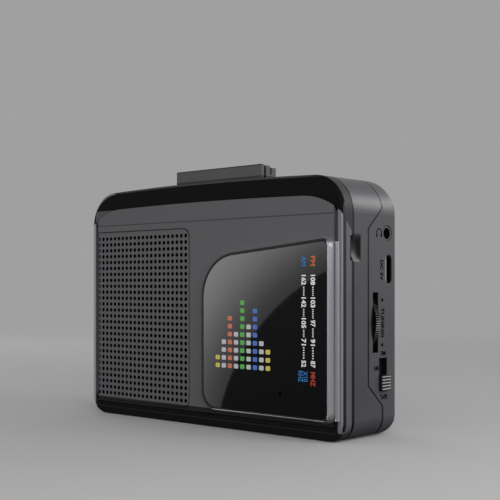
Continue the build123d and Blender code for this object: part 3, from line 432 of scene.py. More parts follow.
def settle(piece, body, slot, *finishes, replaces=(), smooth=30.0):
    """A finished piece: finishes, shading and the body that it moves with; the slot argument is not used."""
    fix_place(piece)
    if finishes:
        dress(piece, *finishes)
    if smooth:
        bpy.ops.object.shade_smooth_by_angle(angle=math.radians(smooth))
    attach(piece, body)
    if replaces:
        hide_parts(*replaces)
    return piece


def lettering(words, centre, cap_height, length, turned, facing, thickness=0.03, bold=0.03):
    """Flat letters in millimetres, centred on a place. turned makes them read downwards."""
    let_go()
    bpy.ops.object.text_add()
    piece = bpy.context.object
    piece.data.body = words
    piece.data.align_x = "CENTER"
    piece.data.align_y = "CENTER"
    piece.data.resolution_u = 3
    piece.data.extrude = 0.5
    piece.data.offset = bold
    hold(piece)
    bpy.ops.object.convert(target="MESH")
    corners = [Vector(corner) for corner in piece.bound_box]
    low = Vector([min(corner[n] for corner in corners) for n in range(3)])
    high = Vector([max(corner[n] for corner in corners) for n in range(3)])
    middle = (low + high) / 2
    reach = high - low
    shrink = Matrix.Diagonal((length * MM / reach.x, cap_height * MM / reach.y, thickness * MM / reach.z, 1))
    spin = Matrix.Rotation(-math.pi / 2 if turned else 0.0, 4, "Z")
    face = Matrix.Rotation(math.pi / 2, 4, "X")
    if facing == "right":
        face = Matrix.Rotation(math.pi / 2, 4, "Z") @ face
    piece.matrix_world = (
        Matrix.Translation(centre) @ face @ spin @ shrink @ Matrix.Translation(-middle)
    )
    return fix_place(piece)


def inlay(x, d, z, wide, high, thickness=0.03, corner=0.2):
    """A small printed block on a front surface, its corners rounded."""
    piece = slab("mark", (x - wide / 2, d - thickness, z - high / 2), (x + wide / 2, d, z + high / 2))
    pick(piece, "EDGE", lambda a, b: abs(a.x - b.x) < 1e-7 and abs(a.z - b.z) < 1e-7)
    bpy.ops.mesh.bevel(offset=corner * MM, segments=3, affect="EDGES")
    leave_edit()
    return piece


# ---------------------------------------------------------------- settings


class PlayerSizes(bpy.types.PropertyGroup):
    """Sizes of the fine pieces."""

    hole_pitch: bpy.props.FloatProperty(
        name="Hole pitch", description="Distance between sound holes", default=2.2 * MM, unit="LENGTH"
    )
    hole_radius: bpy.props.FloatProperty(
        name="Hole radius", description="Radius of a sound hole", default=0.69 * MM, unit="LENGTH"
    )
    hole_columns: bpy.props.IntProperty(name="Columns", description="Holes in a row", default=22)
    hole_rows: bpy.props.IntProperty(name="Rows", description="Rows of holes", default=27)
    digit_height: bpy.props.FloatProperty(
        name="Digit height", description="Height of the dial's digits", default=1.8 * MM, unit="LENGTH"
    )
    spring_turns: bpy.props.IntProperty(name="Spring turns", description="Coils of a key spring", default=6)


class PlayerColours(bpy.types.PropertyGroup):
    """Colours of the main finishes."""

    body: bpy.props.FloatVectorProperty(
        name="Body", description="Painted shells", subtype="COLOR", size=4, default=linear(80, 79, 84)
    )
    plate: bpy.props.FloatVectorProperty(
        name="Front plate", description="Door's plate and grille", subtype="COLOR", size=4,
        default=linear(109, 109, 112),
    )
    # The bands' near black colour is painted shade, the dark that the front slopes mirror.
    band: bpy.props.FloatVectorProperty(
        name="Bands", description="Dark bands above and below the door", subtype="COLOR", size=4,
        default=linear(21, 21, 22),
    )
    bezel: bpy.props.FloatVectorProperty(
        name="Window frame", description="Frame of the dial window", subtype="COLOR", size=4,
        default=linear(168, 167, 172),
    )


class PlayerStage(bpy.types.PropertyGroup):
    """Camera, backdrop and lamps."""

    lens: bpy.props.FloatProperty(
        name="Lens", description="Focal length on a 36 mm sensor", default=72.47, unit="CAMERA"
    )
    turn: bpy.props.FloatProperty(
        name="Turn", description="Camera's turn from the front", default=math.radians(41.91),
        subtype="ANGLE", unit="ROTATION",
    )
    backdrop: bpy.props.FloatVectorProperty(
        name="Backdrop", description="Colour behind the player", subtype="COLOR", size=4,
        default=linear(160, 160, 160),
    )
    sky: bpy.props.FloatProperty(name="Sky", description="Strength of the even light overhead", default=0.8)
    horizon: bpy.props.FloatProperty(name="Horizon", description="Strength of the even light at eye level", default=0.25)
    below: bpy.props.FloatProperty(name="Below", description="Share of it that comes from below", default=0.2)
    overhead: bpy.props.FloatProperty(name="Overhead", description="Share of the sky's light left straight above", default=0.12)
    key: bpy.props.FloatProperty(name="Key lamp", description="Brightness of the soft box above", default=2.26)
    side: bpy.props.FloatProperty(name="Side lamp", description="Brightness of the soft box at the right", default=1.6)
    behind: bpy.props.FloatProperty(name="Rear lamp", description="Brightness of the soft box behind", default=7.5)
    left: bpy.props.FloatProperty(name="Left lamp", description="Brightness of the soft box at the left", default=2.0)
    card: bpy.props.FloatProperty(name="Window card", description="Brightness of the box that the window mirrors", default=5.8)
    card_radius: bpy.props.FloatProperty(
        name="Card cut-out", description="Radius of the window card's round cut-out", default=0.21, unit="LENGTH"
    )


def sizes():
    return bpy.context.scene.player_sizes


def colours():
    return bpy.context.scene.player_colours


def stage_settings():
    return bpy.context.scene.player_stage


FINISHES = {}


def wear(node, finish):
    """Gives a CAD node its finish."""
    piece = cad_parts[node]
    if not piece.material_slots:
        piece.data.materials.append(finish.material)
    for slot in piece.material_slots:
        slot.material = finish.material


# ---------------------------------------------------------------- operators


class PLAYER_OT_finishes(bpy.types.Operator):
    """Makes the finishes and puts them on the CAD pieces"""

    bl_idname = "player.finishes"
    bl_label = "Finishes"

    def execute(self, context):
        paint = tuple(colours().body)
        plate_colour = tuple(colours().plate)
        band_shade_colour = tuple(colours().band)
        f = FINISHES
        f["shell"] = self.seamed(moulded_plastic("painted shell", paint, 0.46))
        f["cover"] = self.seamed(moulded_plastic("painted rear shell", shade(paint, 1.12), 0.46))
        f["band"] = self.dark_band(band_shade_colour, shade(paint, 0.9))
        f["keys"] = self.key_metal(linear(79, 79, 81))
        f["plate"] = self.front_plate(plate_colour)
        f["door"] = self.door_moulding(shade(paint, 1.7))
        f["lens"] = self.dial_glass()
        f["bezel"] = self.window_frame(tuple(colours().bezel))
        # Painted shade: the sound holes are painted black inside, where shade falls.
        f["pit"] = Finish("hole depth", linear(4, 4, 4), 1.0, Specular_IOR_Level=0.0)
        f["black"] = moulded_plastic("black moulding", linear(22, 22, 23), 0.4, 0.00012)
        f["steel"] = plain_metal("bright steel", (0.62, 0.62, 0.63, 1.0), 0.26)
        f["sheet"] = brushed_metal("deck steel", (0.48, 0.48, 0.5, 1.0), 0.36, "x", 0.0001, 1.0)
        f["brass"] = turned_metal("turned brass", (0.72, 0.52, 0.24, 1.0), (27.5, 62.8))
        f["reel"] = moulded_plastic("pale reel moulding", linear(205, 203, 196), 0.4, 0.0001)
        f["gear"] = moulded_plastic("cream gear moulding", linear(214, 204, 176), 0.45, 0.0001)
        f["rubber"] = soft_rubber("black rubber", linear(24, 24, 24))
        f["board"] = self.circuit_board()
        f["ferrite"] = moulded_plastic("ferrite", linear(48, 44, 42), 0.6, 0.0001, 2.0)
        f["copper"] = self.wound_wire()
        f["cone"] = soft_rubber("speaker paper", linear(30, 29, 28), 0.9)
        f["light"] = Finish("light pipe", linear(3, 3, 4), 0.5, Specular_IOR_Level=0.02)
        f["light"].bump(f["light"].noise(2000.0), 0.02, 0.00002)
        f["head"] = self.tape_head()
        f["thumb"] = moulded_plastic("thumb wheel", linear(8, 8, 9), 0.36, 0.00006)
        f["thumb"].set("Specular IOR Level", 0.25)
        f["knob"] = self.switch_knob()
        f["socket"] = self.jack()
        f["port"] = self.port_shell()
        # Painted highlight: the port's tongue is painted light grey to show a highlight line.
        f["tongue"] = moulded_plastic("port tongue", linear(214, 214, 216), 0.4, 0.0001)
        worn = {
            "shell": "middle_housing",
            "cover": "rear_cover battery_door",
            "band": "front_frame",
            "keys": "key_guard play_key forward_key stop_key",
            "plate": "door_front_plate",
            "door": "door_shell",
            "lens": "window_lens",
            "bezel": "window_bezel",
            "light": "indicator_light",
            "steel": "hinge_pins deck_pins motor_can capstan speaker_magnet cover_screws "
            "cassette_springs battery_contacts tuning_shaft volume_shaft",
            "sheet": "chassis_plate key_bracket head_plate pinch_arm speaker_basket",
            "brass": "flywheel capstan_bush motor_pulley motor_posts",
            "reel": "take_up_spindle supply_spindle",
            "gear": "take_up_gear supply_gear",
            "rubber": "pinch_roller drive_belt",
            "board": "circuit_board",
            "ferrite": "antenna_rod",
            "copper": "antenna_coil",
            "cone": "speaker_cone",
            "head": "tape_head",
            "thumb": "tuning_wheel volume_wheel",
            "knob": "mode_switch_knob",
            "socket": "headphone_jack",
            "port": "charging_port",
            "tongue": "charging_tongue",
            "black": "board_chips tuning_capacitor volume_control mode_switch_body",
        }
        for finish, nodes in worn.items():
            for node in nodes.split():
                wear(node, f[finish])
        return {"FINISHED"}

    def seamed(self, finish):
        """Paints the joints between the shells dark, and paints shade inside the side openings, in the finger recess
        and beside the tuning wheel.
        """
        x, d, z = finish.depth()
        slant = ((16.6 - z).most(z - 65.4).most(0.0) * 1.1 + 13.1).least(20.8)
        joint = (x > 57.9) * (slant - 20.8) + 20.8
        near = (d - joint).size()
        line = (near < 0.46) + (d < 5.75)
        # Painted shade: the inner walls behind the side openings are painted near black.
        inside = (x > 50.0) * (x < 58.75) * (d > 13.0) * (d < 26.0) * (z > 8.0) * (z < 70.0)
        finish.overlay((line + inside).clipped(), linear(2, 2, 2))
        # Painted shade: the finger recess darkens deeper in.
        scoop_shade = (59.0 - x).ramp(0.02, 0.9) * (x > 57.0) * (d < 9.6) * (z > 53.0) * (z < 65.0)
        finish.overlay(scoop_shade * 0.85, linear(14, 14, 15))
        # Painted shade: a dark crescent on the side beside the tuning wheel's slot.
        wheel = (1.0 - (z - 36.1) * (z - 36.1) * 0.027) * 1.3 + (d - 15.5)
        finish.overlay((x > 58.7) * (d < 16.5) * (d > 13.5) * (wheel > 0.0), linear(5, 5, 6))
        return finish

    def dark_band(self, colour, paint):
        """Slopes above and below the door painted near black as painted shade, with painted highlights along them, and
        the shells' paint from their rear edge back.
        """
        finish = moulded_plastic("dark band", paint, 0.46, 0.00018)
        x, d, z = finish.depth()
        slope = (d < 1.45) * (x.size() < 58.6)
        # Painted shade: the front slopes are painted near black for the dark that they mirror.
        finish.overlay(slope, colour)
        # Painted light: the lower slope is painted lighter than the upper one, with a painted highlight line along it.
        finish.overlay(slope * (z < 20.0), shade(colour, 1.9))
        finish.overlay(slope * (z < 20.0) * ((z - 2.6).size() < 0.22), linear(52, 52, 54))
        # Painted highlight along the band's top edge, fading out towards the ends.
        crest_highlight = (z + x * x * 0.00036 > 82.3) * (d < 1.6) * ((52.0 - x.size()) * 0.08).clipped()
        finish.overlay(crest_highlight, linear(84, 84, 86))
        filled = (x < -42.0) * (x > -56.9) * (z < 75.5) * (z > 60.0) * slope
        finish.overlay(filled, linear(108, 108, 111))
        # Painted highlight: a light arc round the band's top left corner.
        span = (x + 47.0) * (x + 47.0) + (z - 70.6) * (z - 70.6)
        arc = (span > 116.0) * (x < -47.0) * (z > 66.0) * (d < 1.6)
        finish.overlay(arc, linear(136, 136, 138))
        finish.overlay(d > 4.82, linear(10, 10, 11))
        finish.set("Roughness", slope * 0.2 + 0.45)
        finish.set("Specular IOR Level", 0.06)
        return finish

    def window_frame(self, colour):
        """Bright frame, its right side painted lighter towards the bottom as painted light, and its front rim painted
        black as painted shade beside the plate's seam, at the left and along the top.
        """
        finish = brushed_metal("window frame", colour, 0.33, "z", 0.00022, 0.6)
        x, d, z = finish.depth()
        # Painted light: the right side grows lighter towards the bottom.
        finish.overlay(((48.0 - z) * 0.022).clipped() * (x > 50.0), linear(194, 193, 198))
        # Painted shade: the front rim is painted black except along the bottom and the right, which stay bright as
        # lit.
        bright = ((6.8 - z) * 8.0).clipped().most(((x - 54.6) * 4.0).clipped())
        lip = (d < -2.3) * (bright < 0.5)
        finish.overlay(lip, linear(9, 9, 10))
        return finish

    def jack(self):
        """Black socket with a grey ring round its mouth."""
        finish = moulded_plastic("socket moulding", linear(10, 10, 11), 0.4, 0.00012)
        x, d, z = finish.depth()
        span = ((z - 64.3) * (z - 64.3) + (d - 23.3) * (d - 23.3))
        ring = (x > 58.6) * (span < 5.5) * (span > 3.3)
        finish.overlay(ring, linear(92, 92, 94))
        return finish

    def key_metal(self, colour):
        """Brushed dark metal with a shadow line along the foot and the top edge."""
        finish = brushed_metal("key finish", colour, 0.42, "x", 0.00016, 0.2)
        x, d, z = finish.depth()
        finish.overlay(((z < 84.4) + (z > 87.85)).clipped(), linear(12, 12, 13))
        return finish

    def port_shell(self):
        """Plated shell, bright on its front rim and darkened within by painted shade."""
        finish = plain_metal("port shell", (0.85, 0.85, 0.87, 1.0), 0.3)
        x, d, z = finish.depth()
        # Painted shade: the shell is painted near black inside the opening.
        finish.overlay(((x < 58.7) + (d > 23.1)).clipped(), (0.01, 0.01, 0.01, 1.0))
        return finish

    def front_plate(self, colour):
        """Dark anodised plate with a very fine grain."""
        finish = Finish("front plate", colour, 0.5, 0.1, Specular_IOR_Level=0.3)
        grain = finish.noise(2600.0, 4.0, 0.7)
        broad = finish.noise(25.0, 2.0)
        tone = finish.mix(grain.ramp(0.3, 0.7), shade(colour, 0.94), shade(colour, 1.06))
        finish.set("Base Color", tone)
        x, d, z = finish.depth()
        # Painted shade: a near black strip along the plate's bottom edge, below 6.3 mm.
        finish.overlay(z < 6.3, linear(15, 15, 16))
        finish.set("Roughness", grain * 0.08 + broad * 0.06 + 0.44)
        finish.bump(grain, 0.05, 0.00003, finish.soft_edges(0.00012))
        return finish

    def door_moulding(self, colour):
        """The shells' paint, with painted highlights along the front rim and its edges, painted shade in the groove
        beside the plate, inside and in the finger slot, and dark joints.
        """
        finish = moulded_plastic("door moulding", colour, 0.42, 0.0002)
        x, d, z = finish.depth()
        rim = x.size()
        # Painted highlights: the front rim is painted lighter, most at the left edge and the outer right edge.
        front = (d < 0.5) * (rim > 57.0)
        finish.overlay(front * 0.55, linear(150, 150, 153))
        finish.overlay((d < 0.6) * (x < -57.0), linear(180, 180, 183))
        finish.overlay((d < 0.5) * (rim > 58.45), linear(150, 150, 153))
        # Painted shade in the groove, the inner faces and the finger slot; corner and joint are dark joints.
        groove = (rim < 56.9) * (d > 1.5)
        corner = (rim > 58.3) * ((d - 1.05).size() < 0.52)
        joint = d > 4.3
        slot = (x > 57.5) * (x < 58.95) * (d > 3.45) * (z > 55.2) * (z < 63.2)
        finish.overlay((groove + corner + joint + slot).clipped(), linear(7, 7, 8))
        return finish

    def dial_glass(self):
        """Smoked glossy window."""
        finish = Finish("dial glass", linear(9, 9, 10), 0.06, Specular_IOR_Level=0.5)
        smear = finish.noise(90.0, 4.0)
        finish.set("Roughness", smear * 0.02 + 0.015)
        finish.set("Specular IOR Level", 0.3)
        return finish

    def circuit_board(self):
        finish = Finish("circuit board", linear(22, 92, 52), 0.4, Coat_Weight=0.4)
        x, y, z = finish.axes()
        tracks = finish.cells(260.0, "DISTANCE_TO_EDGE")
        finish.set("Base Color", finish.mix(tracks < 0.06, linear(22, 88, 50), linear(70, 130, 70)))
        finish.bump(tracks < 0.06, 0.3, 0.00004)
        return finish

    def wound_wire(self):
        finish = Finish("enamelled wire", linear(170, 92, 48), 0.35, 0.7)
        x, y, z = finish.axes()
        turns = (x * 18.0).sine() * 0.5 + 0.5
        finish.set("Base Color", finish.mix(turns, linear(96, 44, 22), linear(196, 112, 62)))
        finish.bump(turns, 0.6, 0.0001)
        return finish

    def tape_head(self):
        """Bright head with two dark pole lines on its nose."""
        finish = Finish("tape head", (0.7, 0.7, 0.71, 1.0), 0.2, 1.0)
        x, y, z = finish.axes()
        depth = y - FRONT_Y / MM
        poles = ((x.size() - 0.9).size() < 0.35) * ((depth - 8.0).size() < 1.6)
        scratches = finish.noise(600.0, 4.0, 0.7, (30.0, 1.0, 1.0))
        finish.set("Base Color", finish.mix(poles, (0.7, 0.7, 0.71, 1.0), (0.03, 0.03, 0.03, 1.0)))
        finish.set("Roughness", scratches * 0.2 + 0.1)
        finish.bump(scratches, 0.03, 0.00002, finish.soft_edges(0.00025))
        return finish

    def switch_knob(self):
        """Black knob whose ridges are painted bright as a painted highlight."""
        finish = Finish("switch knob", linear(26, 26, 27), 0.35)
        x, y, z = finish.axes()
        wave = ((z - 14.94) * 6.545).sine()
        # Painted highlight on the outer tops of the ridges.
        crest_highlight = x.ramp(59.9, 60.3) * wave.ramp(0.35, 0.75)
        rub = finish.noise(1500.0, 3.0)
        finish.set("Base Color", finish.mix(crest_highlight, linear(12, 12, 13), linear(205, 205, 207)))
        finish.set("Roughness", rub * 0.2 + 0.3)
        finish.bump(rub, 0.08, 0.00004, finish.soft_edges(0.0001))
        return finish


class PLAYER_OT_grille(bpy.types.Operator):
    """Builds the perforated speaker grille"""

    bl_idname = "player.grille"
    bl_label = "Speaker grille"

    def execute(self, context):
        low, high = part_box("speaker_grille")
        front = (low.y - FRONT_Y) / MM
        back = (high.y - FRONT_Y) / MM
        gap = 0.3
        right = high.x - 0.45 * MM
        panel = slab("grille_panel", (low.x / MM, front, low.z / MM), (right / MM, back, high.z / MM - gap))
        pick(panel, "EDGE", lambda a, b: abs(a.y - b.y) > 1e-5 and a.x > right - 1e-5)
        bpy.ops.mesh.bevel(offset=3.0 * MM, segments=8, affect="EDGES")
        leave_edit()
        pitch = sizes().hole_pitch
        drill = pin_y("grille_drill", -54.9, 65.0, sizes().hole_radius / MM, -0.5, back - 0.12, 16)
        for axis, count in ((0, sizes().hole_columns), (2, sizes().hole_rows)):
            step = [0.0, 0.0, 0.0]
            step[axis] = pitch if axis == 0 else -pitch
            modify(
                drill, "ARRAY", count=count, use_relative_offset=False, use_constant_offset=True,
                constant_offset_displace=step,
            )
        dress(panel, FINISHES["plate"])
        # The holes take the painted shade finish.
        dress(drill, FINISHES["pit"])
        modify(panel, "BOOLEAN", object=drill, operation="DIFFERENCE", solver="EXACT", material_mode="TRANSFER")
        bpy.data.objects.remove(drill)
        settle(panel, "door", "mesh_grey", replaces=["speaker_grille"], smooth=0)
        return {"FINISHED"}


class PLAYER_OT_frame_leg(bpy.types.Operator):
    """Builds the window frame's outer leg, over the groove at the door's corner"""

    bl_idname = "player.frame_leg"
    bl_label = "Frame leg"

    def execute(self, context):
        low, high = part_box("window_bezel")
        leg = slab("frame_leg", (high.x / MM - 0.2, -0.9, low.z / MM + 1.2), (57.8, 0.1, high.z / MM - 1.8))
        pick(leg, "EDGE", lambda a, b: abs(a.z - b.z) > 1e-3 and a.y < FRONT_Y - 0.0005)
        bpy.ops.mesh.bevel(offset=0.4 * MM, segments=3, affect="EDGES")
        leave_edit()
        dress(leg, FINISHES["bezel"])
        settle(leg, "door", "bezel_grey")
        return {"FINISHED"}


class PLAYER_OT_thumb_wheels(bpy.types.Operator):
    """Cuts fine ribs into the rims of both thumb wheels"""

    bl_idname = "player.thumb_wheels"
    bl_label = "Thumb wheels"

    def execute(self, context):
        for node, body, ribs in (("tuning_wheel", "tuning_wheel", 108), ("volume_wheel", "volume_wheel", 64)):
            low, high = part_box(node)
            centre = (low + high) / 2
            radius = (high.x - low.x) / 2
            let_go()
            bpy.ops.mesh.primitive_cylinder_add(
                vertices=2 * ribs, radius=radius, depth=high.y - low.y, location=centre, rotation=(math.pi / 2, 0, 0)
            )
            wheel = bpy.context.object
            wheel.name = node + "_ribbed"
            fix_place(wheel)
            step = math.pi / ribs
            middle = Vector((centre.x, centre.z))

            def valley(co):
                turn = math.atan2(co.z - middle.y, co.x - middle.x)
                return round(turn / step) % 2 == 0 and math.hypot(co.x - middle.x, co.z - middle.y) > radius / 2

            pick(wheel, "VERT", valley)
            bpy.ops.transform.resize(
                value=(1 - 0.22 * MM / radius, 1, 1 - 0.22 * MM / radius), center_override=tuple(centre)
            )
            leave_edit()
            pick(wheel, "FACE", lambda middle_point, normal: abs(normal.y) > 0.9)
            bpy.ops.mesh.inset(thickness=0.9 * MM, depth=0.0)
            bpy.ops.mesh.inset(thickness=0.35 * MM, depth=-0.3 * MM)
            leave_edit()
            settle(wheel, body, "control_black", FINISHES["thumb"], replaces=[node], smooth=25)
        return {"FINISHED"}


class PLAYER_OT_dial(bpy.types.Operator):
    """Prints the scale and a block pattern on the dial window"""

    bl_idname = "player.dial"
    bl_label = "Dial printing"

    def execute(self, context):
        self.face = (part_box("window_lens")[0].y - FRONT_Y) / MM
        # The dial's inks glow: painted light that makes the print shine by itself.
        white = ink("white ink", linear(236, 238, 240), 0.3)
        blue = ink("blue ink", linear(36, 124, 196), 0.14)
        amber = ink("amber ink", linear(216, 116, 56), 0.12)
        red = ink("red ink", linear(206, 66, 36), 0.1)
        numbers = []
        heights = (49.5, 42.6, 36.2, 30.4, 23.7)
        for x, figures in ((45.8, "162 142 105 71 52"), (49.4, "108 103 97 91 87")):
            figures = figures.split()
            reaches = [0.52 * len(figure) for figure in figures]
            for figure, z, reach in zip(figures, heights, reaches):
                numbers.append(self.word(figure, x, z, 2 * reach))
            for n in range(len(figures) - 1):
                numbers.extend(self.dots(x, heights[n] - reaches[n] - 0.35, heights[n + 1] + reaches[n + 1] + 0.35))
        self.print_on("dial_figures", numbers, white)
        self.print_on(
            "dial_unit_blue",
            [self.word("AM", 45.8, 55.3, 3.1), self.word("X10", 46.5, 19.8, 3.3), self.word("KHZ", 44.5, 19.7, 3.5)],
            blue,
        )
        self.print_on("dial_unit_amber", [self.word("FM", 49.4, 55.3, 3.1)], amber)
        self.print_on("dial_unit_red", [self.word("MHZ", 49.4, 19.1, 4.4)], red)
        self.block_pattern()
        return {"FINISHED"}

    def word(self, words, x, z, length):
        return lettering(
            words, place(x, self.face - 0.02, z), sizes().digit_height / MM, length, True, "front"
        )

    def dots(self, x, top, low):
        """A line of fine dashes between two figures."""
        count = 5
        step = (top - low) / count
        return [
            inlay(x, self.face - 0.005, low + step * (n + 0.5), 0.55, step * 0.5, corner=0.08) for n in range(count)
        ]

    def print_on(self, name, pieces, finish):
        piece = joined(name, pieces)
        settle(piece, "door", "lens_black", finish, smooth=0)

    def block_pattern(self):
        """Columns of rounded blocks, like a sound meter, in the window's print colours."""
        palette = {
            "coral": linear(222, 122, 92), "green": linear(92, 186, 84), "blue": linear(74, 122, 206),
            "yellow": linear(222, 206, 84), "pale": linear(206, 208, 212),
        }
        heights = (2, 4, 7, 5, 9, 6, 8, 4, 3)
        order = ("yellow", "pale", "coral", "pale", "green", "pale", "blue", "pale", "yellow")
        blocks = {}
        for column, (count, colour) in enumerate(zip(heights, order)):
            x = 20.2 + (column - 4) * 2.75
            for row in range(count):
                z = 21.4 + row * 2.6
                blocks.setdefault(colour, []).append(inlay(x, self.face - 0.005, z, 1.9, 1.5, corner=0.35))
        for colour, pieces in blocks.items():
            # The pattern's inks glow too, as painted light.
            self.print_on("pattern_" + colour, pieces, ink(colour + " print", palette[colour], 0.2))


class PLAYER_OT_side_marks(bpy.types.Operator):
    """Prints the marks beside the sockets, wheel and switch"""

    bl_idname = "player.side_marks"
    bl_label = "Side marks"

    def execute(self, context):
        finish = ink("dark side print", linear(4, 4, 5))
        finish.set("Specular IOR Level", 0.0)
        pieces = [
            self.word("DC 5V", 20.3, 52.6, 1.7, 6.4, True),
            self.word("TUNING", 20.8, 36.1, 1.8, 9.4, True),
            self.word("FM", 21.2, 26.3, 1.5, 2.6, False),
            self.word("AM", 17.2, 21.8, 1.5, 2.6, False),
            self.word("TAPE", 21.4, 12.5, 1.5, 4.0, False),
        ]
        pieces += [self.arrow(20.6, 43.2, 1), self.arrow(20.6, 29.0, -1)]
        pieces.append(self.headphones(18.9, 64.3))
        piece = joined("side_marks", pieces)
        settle(piece, "body", "body_grey", finish, smooth=0)
        return {"FINISHED"}

    def word(self, words, d, z, height, length, turned):
        centre = Vector((SIDE_X + 0.00001, FRONT_Y + d * MM, z * MM))
        return lettering(words, centre, height, length, turned, "right", bold=0.035)

    def arrow(self, d, z, way):
        """A small triangle pointing up or down."""
        let_go()
        bpy.ops.mesh.primitive_cylinder_add(
            vertices=3, radius=0.9 * MM, depth=0.03 * MM, location=(SIDE_X + 0.00001, FRONT_Y + d * MM, z * MM),
            rotation=(math.radians(0 if way > 0 else 180), math.pi / 2, 0),
        )
        return fix_place(bpy.context.object)

    def headphones(self, d, z):
        """A headband arc with two ear pads."""
        let_go()
        bpy.ops.mesh.primitive_torus_add(
            major_radius=1.35 * MM, minor_radius=0.2 * MM, major_segments=24, minor_segments=6,
            location=(SIDE_X, FRONT_Y + d * MM, z * MM), rotation=(0, math.pi / 2, 0),
        )
        band = fix_place(bpy.context.object)
        cut = z * MM - 0.6 * MM
        pick(band, "VERT", lambda co: co.z < cut)
        bpy.ops.mesh.delete(type="VERT")
        leave_edit()
        middle = SIDE_X
        pick(band, "VERT", lambda co: True)
        bpy.ops.transform.resize(
            value=(0.12, 1, 1), center_override=(middle, FRONT_Y + d * MM, z * MM)
        )
        leave_edit()
        pads = []
        for side in (-1, 1):
            y = FRONT_Y + (d + side * 1.2) * MM
            let_go()
            bpy.ops.mesh.primitive_cube_add(size=1.0, location=(middle, y, (z - 0.7) * MM))
            pad = bpy.context.object
            pad.scale = mm(0.04, 0.75, 1.1)
            fix_place(pad)
            pick(pad, "EDGE", lambda a, b: abs(a.x - b.x) > 1e-6)
            bpy.ops.mesh.bevel(offset=0.25 * MM, segments=3, affect="EDGES")
            leave_edit()
            pads.append(pad)
        return joined("headphones", [band, *pads])


class PLAYER_OT_springs(bpy.types.Operator):
    """Coils the return springs of the keys"""

    bl_idname = "player.springs"
    bl_label = "Key springs"

    def execute(self, context):
        for name in ("play", "forward", "stop"):
            low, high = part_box(name + "_spring")
            centre = (low + high) / 2
            wire = 0.2 * MM
            reach = (high.x - low.x) / 2 - wire
            let_go()
            bpy.ops.mesh.primitive_circle_add(
                vertices=8, radius=wire, location=(reach, 0, 0), rotation=(math.pi / 2, 0, 0)
            )
            coil = fix_place(bpy.context.object)
            coil.name = name + "_coil"
            turns = sizes().spring_turns
            rise = high.z - low.z - 2 * wire
            modify(
                coil, "SCREW", angle=2 * math.pi * turns, screw_offset=rise, iterations=1, steps=20 * turns,
                render_steps=20 * turns, axis="Z", use_smooth_shade=True, use_merge_vertices=False,
            )
            coil.location = (centre.x, centre.y, low.z + wire)
            fix_place(coil)
            pick(coil, "VERT", lambda co: True)
            bpy.ops.mesh.normals_make_consistent(inside=False)
            leave_edit()
            settle(coil, "body", "spring_steel", FINISHES["steel"], replaces=[name + "_spring"], smooth=60)
            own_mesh(coil)
        return {"FINISHED"}


